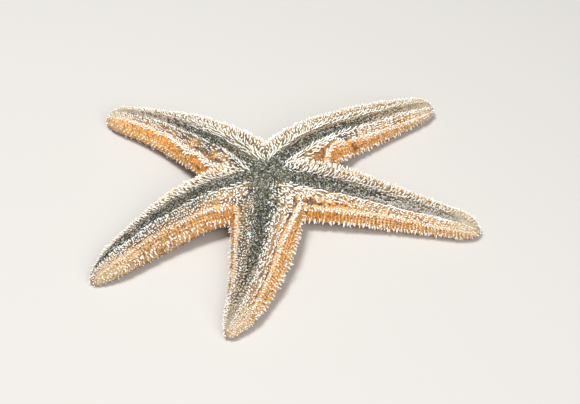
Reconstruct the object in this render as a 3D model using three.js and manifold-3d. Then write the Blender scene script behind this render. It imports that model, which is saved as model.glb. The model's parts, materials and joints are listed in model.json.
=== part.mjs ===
// A common starfish lying on its back, with its mouth and the five furrows of its arms turned up.
// Millimetres, +Z up. The origin is on the floor, under the mouth, on the flat that the disc rests on.
import * as THREE from "three";
import { mergeVertices } from "three/addons/utils/BufferGeometryUtils.js";
import Module from "manifold-3d";

const wasm = await Module();
wasm.setup();

// ---- Driving dimensions ----

// Each arm leaves the mouth at `heading` (degrees from +X) and turns by `bend` and `curl` on the way
// to its tip. `roll` tips its mouth side to the right, in degrees, at the base and at the tip.
// `end` says where the tip starts to round off, and how bluntly. `fuller` is how much further out
// the right and the left flank stand, in millimetres, at the shares of the reach in FULLER_AT.
const ARMS = [
  {
    heading: -90, bend: -11, curl: -15, reach: 72.5, halfWidth: 12.7, taper: 0.69, roll: [8, 14],
    end: [0.84, 1.9],
    fuller: { right: [0, 0.2, 0.1, 0, -0.6, -0.9, -0.9], left: [0, 0.5, 0.7, 0.9, 0.7, 0.4, 0.2] },
  },
  {
    heading: -4, bend: -32, curl: 18, reach: 76, halfWidth: 12.4, taper: 0.66, roll: [10, 15],
    end: [0.9, 2.2],
    fuller: { right: [0, 1, 0.9, 0.3, 0.3, 0.3, 0.3], left: [0, 0, 0, -0.2, -0.2, 0, 0] },
  },
  {
    heading: 71, bend: -100, curl: 60, reach: 82, halfWidth: 12.4, taper: 0.62, roll: [4, 18],
    end: [0.9, 2.2],
    fuller: { right: [0, 0.5, 0.5, 0.5, 0.4, 0.2, 0], left: [0, 0, 0.2, 0.8, 0.5, 0, 0] },
  },
  {
    heading: 124, bend: 33, curl: 7, reach: 77, halfWidth: 13.8, taper: 0.62, roll: [-8, 12],
    end: [0.9, 2.2],
    fuller: { right: [0, 0, 0.2, 0.8, -0.2, -0.2, 0], left: [0, 0.9, 0.9, 0.6, 0.5, 0.2, 0] },
  },
  {
    heading: 190, bend: 78, curl: -36, reach: 75.5, halfWidth: 12.4, taper: 0.57, roll: [-8, 40],
    end: [0.82, 1.8],
    fuller: { right: [0, 0, 0, -0.3, -1.2, -1.6, -1.6], left: [0, 0.9, 0.7, 0.6, 0.4, 0.3, 0] },
  },
];
const FULLER_AT = [0, 0.2, 0.4, 0.6, 0.8, 0.9, 1];

const CROWN = 15; // height of the arms and the disc at the mouth
const CROWN_LOSS = 0.55; // share of that height lost by the tip
const ARCH = { rise: 1.4, from: [0.08, 0.24], to: [0.34, 0.6] }; // how each arm's root stands clear
const TAPER_START = 0.2; // share of the reach where an arm starts to narrow
const TIP_START = 0.9; // share of the reach where the piece of the tip starts
const GAP = 0.3; // clear space between neighbouring pieces

const DISC_RADIUS = 15.5; // from the mouth to the flat joint of each arm
const MOUTH_RADIUS = 4.5;
const MOUTH_FLOOR = 10;
const JAW_BACK = 12.6; // how far out the jaws reach between two furrows
const JAW_TOP = 15;

const FURROW_END = 0.955; // share of the reach where the furrow closes
const FURROW_FLOOR = 0.8; // as a share of the local height
const FURROW_HALF = { floor: 0.17, lip: 0.25 }; // as shares of the local half width
const FEET_TOP = 0.95; // top of the tube feet, as a share of the local height
const FEET_PITCH = 6; // length of one swelling of the band of tube feet
const FEET_SWELL = 0.35;

const SPINE = { length: 1.9, radius: 0.6, sunk: 0.7 }; // the spines that stand out of the outline
const MADREPORITE = { radius: 2, thickness: 1.1, fromMouth: 12.5, floorClear: 0.3 };

// Right half of an arm's section, from the middle of the mouth side to the middle of the back,
// as shares of the half width and of the height. The back ends in the flat that the arm lies on.
const SECTION = [
  [0, 0.985],
  [0.3, 1],
  [0.62, 0.94],
  [0.81, 0.8],
  [0.93, 0.6],
  [1, 0.37],
  [0.98, 0.24],
  [0.9, 0.12],
  [0.72, 0.03],
  [0.48, 0],
];
// The spines' rows: where each stands on the section, which way it points, and its pitch along the arm.
const SPINE_ROWS = [
  { at: [0.99, 0.36], outward: 0.96, upward: -0.28, pitch: 4.4 },
  { at: [0.81, 0.8], outward: 0.8, upward: 0.6, pitch: 5 },
];

// ---- Shape of one arm ----

const radians = THREE.MathUtils.degToRad;
const { clamp, smoothstep } = THREE.MathUtils;

const BACKWARD_RUN = 0.12; // share of the reach that an arm's solid runs back past the mouth
const TRACE_STEPS = 240;

function polar(radius, angle) {
  return new THREE.Vector2(radius * Math.cos(angle), radius * Math.sin(angle));
}

// Points along an arm's middle line, evenly spaced by its length.
function traceMiddle(arm) {
  const step = arm.reach / TRACE_STEPS;
  const trace = [new THREE.Vector2(0, 0)];
  for (let i = 0; i < TRACE_STEPS; i += 1) {
    trace.push(polar(step, headingAt(arm, (i + 0.5) / TRACE_STEPS)).add(trace[i]));
  }
  return trace;
}

function headingAt(arm, share) {
  const s = clamp(share, 0, 1);
  return radians(arm.heading + arm.bend * s + arm.curl * s * s);
}

function middleAt(arm, share) {
  if (share <= 0) return polar(share * arm.reach, headingAt(arm, share));
  const place = Math.min(share, 1) * TRACE_STEPS;
  const before = Math.min(Math.floor(place), TRACE_STEPS - 1);
  return arm.trace[before].clone().lerp(arm.trace[before + 1], place - before);
}

// 1 along the arm, falling to 0 round its end.
function endRounding(arm, share) {
  const [start, bluntness] = arm.end;
  const past = clamp((share - start) / (1 - start), 0, 1);
  return Math.sqrt(Math.max(0, 1 - past ** bluntness));
}

function halfWidthAt(arm, share) {
  const past = clamp((share - TAPER_START) / (1 - TAPER_START), 0, 1);
  return arm.halfWidth * (1 - arm.taper * past ** 1.3) * endRounding(arm, share);
}

// How much further out a flank stands than an even arm's would, away from the furrow.
function fullerAt(arm, share, across) {
  const s = clamp(share, 0, 1);
  const last = FULLER_AT.length - 1;
  const next = Math.max(1, FULLER_AT.findIndex((at) => at >= s));
  const i = Math.min(next, last);
  const part = (s - FULLER_AT[i - 1]) / (FULLER_AT[i] - FULLER_AT[i - 1]);
  const flank = across < 0 ? arm.fuller.right : arm.fuller.left;
  const amount = THREE.MathUtils.lerp(flank[i - 1], flank[i], part) * endRounding(arm, share);
  return Math.sign(across) * amount * smoothstep(Math.abs(across), 0.3, 0.8);
}

function heightAt(arm, share) {
  const s = clamp(share, 0, 1);
  const rounding = 0.25 + 0.75 * endRounding(arm, share);
  return (CROWN - archAt(share)) * (1 - CROWN_LOSS * s ** 1.4) * rounding;
}

// How far the underside stands clear of the floor, between the disc's flat and the arm's own.
function archAt(share) {
  return ARCH.rise * smoothstep(share, ...ARCH.from) * (1 - smoothstep(share, ...ARCH.to));
}

// A point of the arm from shares of its reach, half width and height. The underside lies flat,
// and the rest of the section is turned over to the right by the arm's roll.
function pointOn(arm, share, across, up) {
  const width = halfWidthAt(arm, share);
  const height = heightAt(arm, share);
  const pivot = 0.25 * height;
  const roll = radians(THREE.MathUtils.lerp(...arm.roll, clamp(share, 0, 1))) * smoothstep(up, 0, 0.6);
  const u = across * width + fullerAt(arm, share, across);
  const v = up * height - pivot;
  const side = u * Math.cos(roll) - v * Math.sin(roll);
  const z = pivot + u * Math.sin(roll) + v * Math.cos(roll);
  const angle = headingAt(arm, share);
  const middle = middleAt(arm, share);
  return new THREE.Vector3(
    middle.x - side * Math.sin(angle),
    middle.y + side * Math.cos(angle),
    Math.max(z, 0) + archAt(share),
  );
}

// ---- Solids ----

// A closed solid through rings of points, all with the same count, capped flat at both ends.
function loftSolid(rings) {
  const count = rings[0].length;
  const positions = rings.flat().flatMap((p) => [p.x, p.y, p.z]);
  const faces = [];
  for (let r = 0; r < rings.length - 1; r += 1) {
    for (let i = 0; i < count; i += 1) {
      const a = r * count + i;
      const b = r * count + ((i + 1) % count);
      faces.push(a, b, b + count, a, b + count, a + count);
    }
  }
  const last = (rings.length - 1) * count;
  for (let i = 1; i < count - 1; i += 1) {
    faces.push(0, i + 1, i, last, last + i, last + i + 1);
  }
  const geometry = new THREE.BufferGeometry();
  geometry.setAttribute("position", new THREE.Float32BufferAttribute(positions, 3));
  geometry.setIndex(faces);
  return toSolid(geometry);
}

// A manifold solid from a closed geometry, turned to face outwards.
function toSolid(geometry) {
  const bare = geometry.clone();
  bare.deleteAttribute("normal");
  bare.deleteAttribute("uv");
  const merged = mergeVertices(bare, 1e-4);
  const mesh = { numProp: 3, vertProperties: merged.attributes.position.array };
  const index = Uint32Array.from(merged.index.array);
  const solid = new wasm.Manifold(new wasm.Mesh({ ...mesh, triVerts: index }));
  if (solid.volume() >= 0) return solid;
  for (let i = 0; i < index.length; i += 3) {
    [index[i + 1], index[i + 2]] = [index[i + 2], index[i + 1]];
  }
  return new wasm.Manifold(new wasm.Mesh({ ...mesh, triVerts: index }));
}

function joined(solids) {
  return solids.reduce((whole, next) => whole.add(next));
}

function prismSolid(corners, low, high) {
  const outline = new THREE.Shape(corners);
  const geometry = new THREE.ExtrudeGeometry(outline, { depth: high - low, bevelEnabled: false });
  return toSolid(geometry.translate(0, 0, low));
}

function cylinderSolid(radius, low, high, x, y, sides = 20) {
  const geometry = new THREE.CylinderGeometry(radius, radius, high - low, sides).rotateX(Math.PI / 2);
  return toSolid(geometry.translate(x, y, (low + high) / 2));
}

function evenSteps(from, to, count) {
  return Array.from({ length: count + 1 }, (_, i) => from + ((to - from) * i) / count);
}

const WHOLE_SECTION = [
  ...SECTION,
  ...SECTION.slice(1).reverse().map(([across, up]) => [-across, up]),
];

function bodyRing(arm, share) {
  return WHOLE_SECTION.map(([across, up]) => pointOn(arm, share, across, up));
}

// The furrow as a solid to cut away: its floor follows the arm and its lips open above the crown.
function furrowSolid(arm, from) {
  const lipTop = 1.12;
  const spread = (FURROW_HALF.lip - FURROW_HALF.floor) / (1 - FURROW_FLOOR);
  const wide = FURROW_HALF.lip + (lipTop - 1) * spread;
  return loftSolid(
    evenSteps(from, FURROW_END, 12).map((s) => [
      pointOn(arm, s, -FURROW_HALF.floor, FURROW_FLOOR),
      pointOn(arm, s, FURROW_HALF.floor, FURROW_FLOOR),
      pointOn(arm, s, wide, lipTop),
      pointOn(arm, s, -wide, lipTop),
    ]),
  );
}

// The band of tube feet that fills the furrow, swelling over each row of feet.
function feetSolid(arm, from) {
  const end = FURROW_END - (2 * GAP) / arm.reach;
  const count = 2 * Math.round(((end - from) * arm.reach) / FEET_PITCH);
  return loftSolid(
    evenSteps(from, end, count).map((s, i) => {
      const width = halfWidthAt(arm, s);
      const height = heightAt(arm, s);
      const low = FURROW_FLOOR + GAP / height;
      const lowHalf = FURROW_HALF.floor - GAP / width;
      const highHalf = FURROW_HALF.lip - (1.6 * GAP) / width;
      const swell = ((i % 2) * FEET_SWELL) / height;
      return [
        pointOn(arm, s, -lowHalf, low),
        pointOn(arm, s, lowHalf, low),
        pointOn(arm, s, 0.94 * highHalf, FEET_TOP - 0.03),
        pointOn(arm, s, 0.5 * highHalf, FEET_TOP + swell),
        pointOn(arm, s, -0.5 * highHalf, FEET_TOP + swell),
        pointOn(arm, s, -0.94 * highHalf, FEET_TOP - 0.03),
      ];
    }),
  );
}

// One pointed spine, standing on the section at `row.at` on the given side of the arm.
function spineSolid(arm, share, side, row, length) {
  const [across, up] = row.at;
  const root = pointOn(arm, share, side * across, up);
  const beside = pointOn(arm, share, side * (across + 0.1), up);
  const above = pointOn(arm, share, side * across, up + 0.05);
  const outward = beside.sub(root).normalize();
  const upward = above.sub(root).normalize();
  const direction = outward.multiplyScalar(row.outward).addScaledVector(upward, row.upward).normalize();
  const cone = new THREE.ConeGeometry(SPINE.radius, length + SPINE.sunk, 3, 1);
  const turn = new THREE.Quaternion().setFromUnitVectors(new THREE.Vector3(0, 1, 0), direction);
  const centre = root.addScaledVector(direction, (length - SPINE.sunk) / 2);
  return toSolid(cone.applyQuaternion(turn).translate(centre.x, centre.y, centre.z));
}

function spineSolids(arm, from, to) {
  const spines = [];
  for (const row of SPINE_ROWS) {
    const count = Math.floor(((to - from) * arm.reach) / row.pitch);
    for (const side of [-1, 1]) {
      for (let i = 0; i < count; i += 1) {
        const share = from + ((i + 0.5) * (to - from)) / count;
        const length = SPINE.length * (1 - 0.45 * share);
        spines.push(spineSolid(arm, share, side, row, length));
      }
    }
  }
  return spines;
}

// ---- Materials ----

const finishes = {
  skin: { color: 0xd9914f, roughness: 0.62, metalness: 0 },
  tip: { color: 0xe9dcc4, roughness: 0.55, metalness: 0 },
  feet: { color: 0x7d7a72, roughness: 0.4, metalness: 0 },
  jaw: { color: 0xe8dfcb, roughness: 0.7, metalness: 0 },
  mouth: { color: 0x66635c, roughness: 0.5, metalness: 0 },
  sieve: { color: 0xe2d3b4, roughness: 0.8, metalness: 0 },
};

const group = new THREE.Group();

function addPiece(name, solid, finish) {
  const { vertProperties, triVerts } = solid.getMesh();
  const geometry = new THREE.BufferGeometry();
  geometry.setAttribute("position", new THREE.BufferAttribute(vertProperties, 3));
  geometry.setIndex(new THREE.BufferAttribute(triVerts, 1));
  geometry.computeVertexNormals();
  const mesh = new THREE.Mesh(geometry, new THREE.MeshStandardMaterial(finishes[finish]));
  mesh.name = name;
  group.add(mesh);
}

// ---- Layout round the mouth ----

for (const arm of ARMS) {
  arm.trace = traceMiddle(arm);
  // The direction of an arm's joint is where its middle line crosses the disc's edge.
  const crossing = arm.trace.find((p) => p.length() > DISC_RADIUS);
  arm.jointAngle = Math.atan2(crossing.y, crossing.x);
}

// The angle halfway from an arm to the next one round, and half of the angle between them.
function between(index) {
  const from = ARMS[index].jointAngle;
  const to = ARMS[(index + 1) % ARMS.length].jointAngle;
  const spread = THREE.MathUtils.euclideanModulo(to - from, 2 * Math.PI);
  return { angle: from + spread / 2, half: spread / 2 };
}

const LOW = -5;
const HIGH = 30;
const FAR = 130;

function discPrism() {
  const corners = ARMS.map((_, i) => {
    const { angle, half } = between(i);
    return polar(DISC_RADIUS / Math.cos(half), angle);
  });
  return prismSolid(corners, LOW, HIGH);
}

// The wedge of space that one arm may fill, a gap clear of the disc and of its neighbours' wedges.
function armPrism(index) {
  const left = between(index);
  const right = between((index + ARMS.length - 1) % ARMS.length);
  const joint = DISC_RADIUS + GAP;
  const inwards = (edge, turn) => polar(GAP / 2, edge.angle + (turn * Math.PI) / 2);
  return prismSolid(
    [
      polar(joint / Math.cos(right.half), right.angle).add(inwards(right, 1)),
      polar(FAR, right.angle).add(inwards(right, 1)),
      polar(FAR, left.angle).add(inwards(left, -1)),
      polar(joint / Math.cos(left.half), left.angle).add(inwards(left, -1)),
    ],
    LOW,
    HIGH,
  );
}

// The outline of a jaw: a wedge between two furrows, its point towards the mouth.
function jawCorners(index, grow) {
  const { angle, half } = between(index);
  const furrow = 2.3 - grow;
  const point = furrow / Math.sin(half);
  const back = JAW_BACK + grow;
  const halfBack = (back - point) * Math.tan(half);
  const along = polar(1, angle);
  const across = polar(1, angle + Math.PI / 2);
  const corner = (a, b) => along.clone().multiplyScalar(a).addScaledVector(across, b);
  const shoulder = back - 0.5 * halfBack;
  const halfShoulder = (shoulder - point) * Math.tan(half);
  return [
    corner(point, 0),
    corner(shoulder, -halfShoulder),
    corner(back, -0.45 * halfBack),
    corner(back, 0.45 * halfBack),
    corner(shoulder, halfShoulder),
  ];
}

function madreporiteSolid(grow) {
  const centre = polar(MADREPORITE.fromMouth, between(2).angle);
  const low = grow ? LOW : MADREPORITE.floorClear;
  const high = MADREPORITE.floorClear + MADREPORITE.thickness + grow;
  return cylinderSolid(MADREPORITE.radius + grow, low, high, centre.x, centre.y, 14);
}

// The mouth: a low dome of skin with a dimple in its middle.
function mouthSolid() {
  const floor = MOUTH_FLOOR + GAP;
  const profile = [
    new THREE.Vector2(0, floor),
    new THREE.Vector2(MOUTH_RADIUS - GAP, floor),
    new THREE.Vector2(MOUTH_RADIUS - GAP, floor + 0.7),
    new THREE.Vector2(0.6 * MOUTH_RADIUS, floor + 1.7),
    new THREE.Vector2(0.25 * MOUTH_RADIUS, floor + 1.6),
    new THREE.Vector2(0, floor + 0.9),
  ];
  return toSolid(new THREE.LatheGeometry(profile, 15).rotateX(Math.PI / 2));
}

// ---- The pieces ----

// The places of an arm's rings, from the mouth to just short of its tip piece.
function bodyShares(arm) {
  return evenSteps(0, TIP_START - GAP / 2 / arm.reach, 9);
}

const furrows = ARMS.map((arm) => furrowSolid(arm, 0));
const allFurrows = joined(furrows);
const discShape = joined(
  ARMS.map((arm) => {
    const shares = [-BACKWARD_RUN, ARCH.from[0], ...bodyShares(arm).slice(2, 4)];
    return loftSolid(shares.map((s) => bodyRing(arm, s)));
  }),
);
const jawPockets = joined(ARMS.map((_, i) => prismSolid(jawCorners(i, GAP), MOUTH_FLOOR, HIGH)));
const disc = discShape
  .subtract(allFurrows)
  .subtract(cylinderSolid(MOUTH_RADIUS, MOUTH_FLOOR, HIGH, 0, 0, 15))
  .subtract(jawPockets)
  .subtract(madreporiteSolid(GAP))
  .intersect(discPrism());
addPiece("disc", disc, "skin");
addPiece("mouth", mouthSolid(), "mouth");
addPiece("madreporite", madreporiteSolid(0), "sieve");

ARMS.forEach((arm, i) => {
  const number = i + 1;
  const tipFrom = TIP_START + GAP / 2 / arm.reach;
  const rootShare = DISC_RADIUS / arm.reach;

  const armBody = loftSolid(bodyShares(arm).map((s) => bodyRing(arm, s)));
  const spines = spineSolids(arm, rootShare + 0.05, TIP_START - 0.02);
  const armSolid = joined([armBody, ...spines]).subtract(furrows[i]).intersect(armPrism(i));
  addPiece(`arm_${number}`, armSolid, "skin");

  const tipShares = [tipFrom, 0.945, 0.978, 0.995];
  const tipBody = loftSolid(tipShares.map((s) => bodyRing(arm, s)));
  addPiece(`arm_tip_${number}`, tipBody.subtract(furrows[i]), "tip");

  const feetFrom = (MOUTH_RADIUS + 3 * GAP) / arm.reach;
  addPiece(`tube_feet_${number}`, feetSolid(arm, feetFrom), "feet");

  const jaw = prismSolid(jawCorners(i, 0), MOUTH_FLOOR + GAP, JAW_TOP);
  const jawClear = cylinderSolid(MOUTH_RADIUS, LOW, HIGH, 0, 0, 15);
  addPiece(`jaw_${number}`, jaw.subtract(allFurrows).subtract(jawClear), "jaw");
});

export default group;
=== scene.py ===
import json
import math

import bpy
import numpy as np
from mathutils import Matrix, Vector, noise
from mathutils.bvhtree import BVHTree

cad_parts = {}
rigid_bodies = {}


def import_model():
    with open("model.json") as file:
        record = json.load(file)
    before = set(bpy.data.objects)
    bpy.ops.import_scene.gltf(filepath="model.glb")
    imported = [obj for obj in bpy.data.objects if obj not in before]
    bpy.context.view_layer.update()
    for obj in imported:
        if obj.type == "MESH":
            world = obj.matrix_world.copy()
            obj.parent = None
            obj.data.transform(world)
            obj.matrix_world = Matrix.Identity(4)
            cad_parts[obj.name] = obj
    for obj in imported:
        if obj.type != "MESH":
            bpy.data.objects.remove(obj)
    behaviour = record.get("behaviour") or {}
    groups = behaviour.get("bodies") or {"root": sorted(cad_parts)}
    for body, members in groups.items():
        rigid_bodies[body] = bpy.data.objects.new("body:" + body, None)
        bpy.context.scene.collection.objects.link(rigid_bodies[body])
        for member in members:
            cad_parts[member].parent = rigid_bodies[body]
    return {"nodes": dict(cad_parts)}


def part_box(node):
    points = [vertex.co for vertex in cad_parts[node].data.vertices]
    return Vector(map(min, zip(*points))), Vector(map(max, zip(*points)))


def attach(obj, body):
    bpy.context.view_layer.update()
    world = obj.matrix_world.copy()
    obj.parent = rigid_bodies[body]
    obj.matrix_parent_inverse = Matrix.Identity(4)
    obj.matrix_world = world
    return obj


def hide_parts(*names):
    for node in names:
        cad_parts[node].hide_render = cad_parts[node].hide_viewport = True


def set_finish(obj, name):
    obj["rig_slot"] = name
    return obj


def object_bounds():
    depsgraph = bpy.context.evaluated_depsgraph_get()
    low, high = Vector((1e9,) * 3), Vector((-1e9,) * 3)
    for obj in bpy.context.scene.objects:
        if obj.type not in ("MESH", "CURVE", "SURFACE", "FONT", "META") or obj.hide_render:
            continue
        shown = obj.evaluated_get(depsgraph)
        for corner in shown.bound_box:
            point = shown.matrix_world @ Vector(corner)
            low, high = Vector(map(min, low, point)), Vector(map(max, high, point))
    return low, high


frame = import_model()
cad_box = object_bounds()

# ---- Skin ----
# One leathery skin over chalky plates covers the disc and the five arms, mouth side up. It is lofted
# along each arm, joined over the disc, and carved with the five furrows and the pit of the mouth.
# It lies inside the solids by the length of the spines that stand on it.

ARMS = [
    {"heading": -90, "bend": -11, "curl": -15, "reach": 72.5, "half": 12.7, "taper": 0.69, "roll": (8, 14)},
    {"heading": -4, "bend": -32, "curl": 18, "reach": 76, "half": 12.4, "taper": 0.66, "roll": (10, 15)},
    {"heading": 71, "bend": -100, "curl": 60, "reach": 82, "half": 12.4, "taper": 0.62, "roll": (4, 18)},
    {"heading": 124, "bend": 33, "curl": 7, "reach": 77, "half": 13.8, "taper": 0.62, "roll": (-8, 12)},
    {"heading": 190, "bend": 78, "curl": -36, "reach": 75.5, "half": 12.4, "taper": 0.57, "roll": (-8, 40)},
]
ENDS = [(0.84, 1.9), (0.9, 2.2), (0.9, 2.2), (0.9, 2.2), (0.82, 1.8)]
FULLER_AT = [0, 0.2, 0.4, 0.6, 0.8, 0.9, 1]
FULLER = [  # how much further out the right and the left flank stand
    ([0, 0.2, 0.1, 0, -0.6, -0.9, -0.9], [0, 0.5, 0.7, 0.9, 0.7, 0.4, 0.2]),
    ([0, 1, 0.9, 0.3, 0.3, 0.3, 0.3], [0, 0, 0, -0.2, -0.2, 0, 0]),
    ([0, 0.5, 0.5, 0.5, 0.4, 0.2, 0], [0, 0, 0.2, 0.8, 0.5, 0, 0]),
    ([0, 0, 0.2, 0.8, -0.2, -0.2, 0], [0, 0.9, 0.9, 0.6, 0.5, 0.2, 0]),
    ([0, 0, 0, -0.3, -1.2, -1.6, -1.6], [0, 0.9, 0.7, 0.6, 0.4, 0.3, 0]),
]
for arm, end, fuller in zip(ARMS, ENDS, FULLER):
    arm["end"], arm["fuller"] = end, fuller
CROWN = 15.0
FLANK_CENTRE = 0.45  # height, as a share of the arm's, that the section is measured round from
SECTION = [(0, 0.985), (0.3, 1), (0.62, 0.94), (0.81, 0.8), (0.93, 0.6), (1, 0.37)]
SECTION += [(0.98, 0.24), (0.9, 0.12), (0.72, 0.03), (0.48, 0), (0, 0)]
COAT_DEPTH = [(0, 1.15), (0.25, 1.0), (0.34, 0.65), (0.5, 0.45), (0.7, 0.5), (1, 0.5)]
FURROW_DEPTH = 2.3
ROUGH_VOXEL, VOXEL = 0.0006, 0.000466
LIP, RIDGE, LOWER_EDGE = 0.14, 0.335, 0.62  # bands that follow the lip of the furrow and the ridge
RIDGE_REACH = [8, 16, 21, 27, 33, 38, 48, 64, 80]
RIDGE_RING = [  # where the ridge runs on the right and the left side, as a share of the half girth
    ([0.3] + 8 * [0.29], [0.45, 0.415, 0.375, 0.335, 0.31, 0.315, 0.34, 0.41, 0.43]),
    ([0.33, 0.34, 0.34, 0.33, 0.315, 0.313, 0.31, 0.335, 0.34], 9 * [0.31]),
    ([0.31, 0.37, 0.41, 0.285, 0.225, 0.275, 0.315, 0.325, 0.335], 9 * [0.31]),
    (9 * [0.3], [0.29, 0.285, 0.325, 0.3, 0.36, 0.33, 0.322, 0.32, 0.33]),
    (9 * [0.29], [0.335, 0.348, 0.356, 0.363, 0.37, 0.381, 0.4, 0.435, 0.44]),
]


def rise(value, low, high):
    """0 below low, 1 above high and smooth between them."""
    t = np.clip((value - low) / (high - low), 0, 1)
    return t * t * (3 - 2 * t)


def fall(value, low, high):
    return 1 - rise(value, low, high)


def bump_at(value, middle, reach):
    """1 at the middle, falling away smoothly over the reach on both sides."""
    return np.exp(-(((value - middle) / reach) ** 2))


def heading_at(arm, share):
    s = np.clip(share, 0, 1)
    return np.radians(arm["heading"] + arm["bend"] * s + arm["curl"] * s * s)


for arm in ARMS:
    step = arm["reach"] / 240
    turn = heading_at(arm, (np.arange(240) + 0.5) / 240)
    arm["x"] = np.concatenate([[0], np.cumsum(step * np.cos(turn))])
    arm["y"] = np.concatenate([[0], np.cumsum(step * np.sin(turn))])


def middle_at(arm, share):
    shares = np.linspace(0, 1, 241)
    inside = np.clip(share, 0, 1)
    beyond = (share - inside) * arm["reach"]
    turn = heading_at(arm, share)
    x = np.interp(inside, shares, arm["x"]) + beyond * np.cos(turn)
    y = np.interp(inside, shares, arm["y"]) + beyond * np.sin(turn)
    return x, y


def end_rounding(arm, share):
    start, bluntness = arm["end"]
    return np.sqrt(np.maximum(0, 1 - np.clip((share - start) / (1 - start), 0, 1) ** bluntness))


def half_width(arm, share):
    past = np.clip((share - 0.2) / 0.8, 0, 1)
    return arm["half"] * (1 - arm["taper"] * past**1.3) * end_rounding(arm, share)


def fuller_at(arm, share, across):
    """How much further out a flank stands than an even arm's would, away from the furrow."""
    right, left = (np.interp(share, FULLER_AT, flank) for flank in arm["fuller"])
    return np.where(across < 0, right, left) * end_rounding(arm, share) * rise(np.abs(across), 0.3, 0.8)


def arch(share):
    return 1.4 * rise(share, 0.08, 0.24) * fall(share, 0.34, 0.6)


def height(arm, share):
    s = np.clip(share, 0, 1)
    return (CROWN - arch(share)) * (1 - 0.55 * s**1.4) * (0.25 + 0.75 * end_rounding(arm, share))


def roll_at(arm, share, up):
    low, high = arm["roll"]
    return np.radians(low + (high - low) * np.clip(share, 0, 1)) * rise(up, 0, 0.6)


def stand(arm, share, u, v):
    """Millimetre place of a point u across and v above the underside of an arm's section."""
    tall = height(arm, share)
    pivot = 0.25 * tall
    roll = roll_at(arm, share, v / np.maximum(tall, 1e-6))
    side = u * np.cos(roll) - (v - pivot) * np.sin(roll)
    z = pivot + u * np.sin(roll) + (v - pivot) * np.cos(roll)
    turn = heading_at(arm, share)
    x, y = middle_at(arm, share)
    z = np.maximum(z, 0) + arch(share)
    return np.stack([x - side * np.sin(turn), y + side * np.cos(turn), z], -1)


# The section as a smooth loop: share of the half girth, from the furrow (0) round to the back (1).
corners = np.array(SECTION + [(-a, b) for a, b in SECTION[1:-1]][::-1], float)
loop = np.vstack([corners, corners[:1]])
HALF_LOOP, BLUR, BLUR_REACH = 360, 11.0, 40
MEAN_HALF, MEAN_TALL = 12.4, 14
lengths = np.concatenate([[0], np.cumsum(np.hypot(*(np.diff(loop, axis=0) * (MEAN_HALF, MEAN_TALL)).T))])
even = np.linspace(0, lengths[-1], 2 * HALF_LOOP, endpoint=False)
loop = np.stack([np.interp(even, lengths, loop[:, 0]), np.interp(even, lengths, loop[:, 1])], -1)
weights = bump_at(np.arange(-BLUR_REACH, BLUR_REACH + 1), 0, BLUR)
weights /= weights.sum()
padded = np.vstack([loop[-BLUR_REACH:], loop, loop[:BLUR_REACH]])
loop = np.stack([np.convolve(padded[:, i], weights, "valid") for i in (0, 1)], -1)
ring_shares = np.linspace(0, 1, HALF_LOOP + 1)
ring_across = np.append(loop[:HALF_LOOP, 0], 0)
ring_up = loop[: HALF_LOOP + 1, 1]
ring_across[0] = 0
ring_angle = np.arctan2(ring_across, ring_up - FLANK_CENTRE)
ring_angle[-1] = math.pi


def around(arm, share, ring, sink=1.0):
    """Place of a point at a share of the half girth; ring is below 0 on the arm's other side."""
    wide, tall = half_width(arm, share), height(arm, share)
    f = np.abs(ring)
    across = np.interp(f, ring_shares, ring_across)
    u = across * wide + fuller_at(arm, share, np.where(ring < 0, -across, across))
    v = np.interp(f, ring_shares, ring_up) * tall
    du, dv = (
        (np.interp(f + 0.01, ring_shares, curve) - np.interp(f - 0.01, ring_shares, curve)) * size
        for curve, size in ((ring_across, wide), (ring_up, tall))
    )
    du = np.where((f < 0.01) | (f > 0.99), np.abs(du) + 1e-6, du)
    size = np.hypot(du, dv) + 1e-9
    depth = np.interp(f, *zip(*COAT_DEPTH)) * np.clip(wide / 9, 0.2, 1) * sink
    u_in = u + depth * dv / size
    v_in = v - depth * du / size
    u_in = np.where(f < 0.01, 0, u_in)
    u_in = np.where(f > 0.99, 0, u_in)
    v_in = np.where(f > 0.99, depth, v_in)
    return stand(arm, share, np.sign(ring) * np.maximum(u_in, 0), v_in)


def arm_places(points, arm):
    """Share of the reach, distance across and height in the section of points in millimetres."""
    shares = np.arange(-0.16, 1.06, 0.25 / arm["reach"])
    x, y = middle_at(arm, shares)
    line = np.stack([x, y], -1)
    flat = points[:, :2]
    nearest = np.empty(len(flat), np.int64)
    for start in range(0, len(flat), 20000):
        part = flat[start : start + 20000]
        gap = (line**2).sum(1)[None] - 2 * part @ line.T
        nearest[start : start + 20000] = gap.argmin(1)
    turn = heading_at(arm, shares)[nearest]
    dx, dy = (flat - line[nearest]).T
    share = shares[nearest] + (dx * np.cos(turn) + dy * np.sin(turn)) / arm["reach"]
    side = -dx * np.sin(turn) + dy * np.cos(turn)
    tall = np.maximum(height(arm, share), 0.5)
    z = points[:, 2] - arch(share)
    up = z / tall
    for _ in range(4):
        roll = roll_at(arm, share, up)
        u = side * np.cos(roll) + (z - 0.25 * tall) * np.sin(roll)
        v = 0.25 * tall - side * np.sin(roll) + (z - 0.25 * tall) * np.cos(roll)
        up = v / tall
    past = np.hypot(side, np.minimum(share, 0) * arm["reach"])
    return share, u, v, past


def ring_of(arm, share, u, v):
    wide = np.maximum(half_width(arm, share), 0.6)
    tall = np.maximum(height(arm, share), 0.6)
    across = u / wide
    for _ in range(3):
        across = (u - np.sign(u) * fuller_at(arm, share, across)) / wide
    angle = np.arctan2(np.abs(across), v / tall - FLANK_CENTRE)
    return np.interp(angle, ring_angle, ring_shares) * np.where(u < 0, -1, 1)


def lip_at(k, side, along):
    """Ring of the furrow's lip; sand has pushed it out on one side of the last arm."""
    pushed = (0.05 * rise(along, 26, 36) + 0.035 * rise(along, 40, 56)) * fall(along, 64, 74)
    drawn_in = 0.03 * rise(along, 4, 9) * fall(along, 24, 36)
    return LIP + pushed * ((k, side) == (4, 1)) - drawn_in * ((k, side) == (3, 1))


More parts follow.
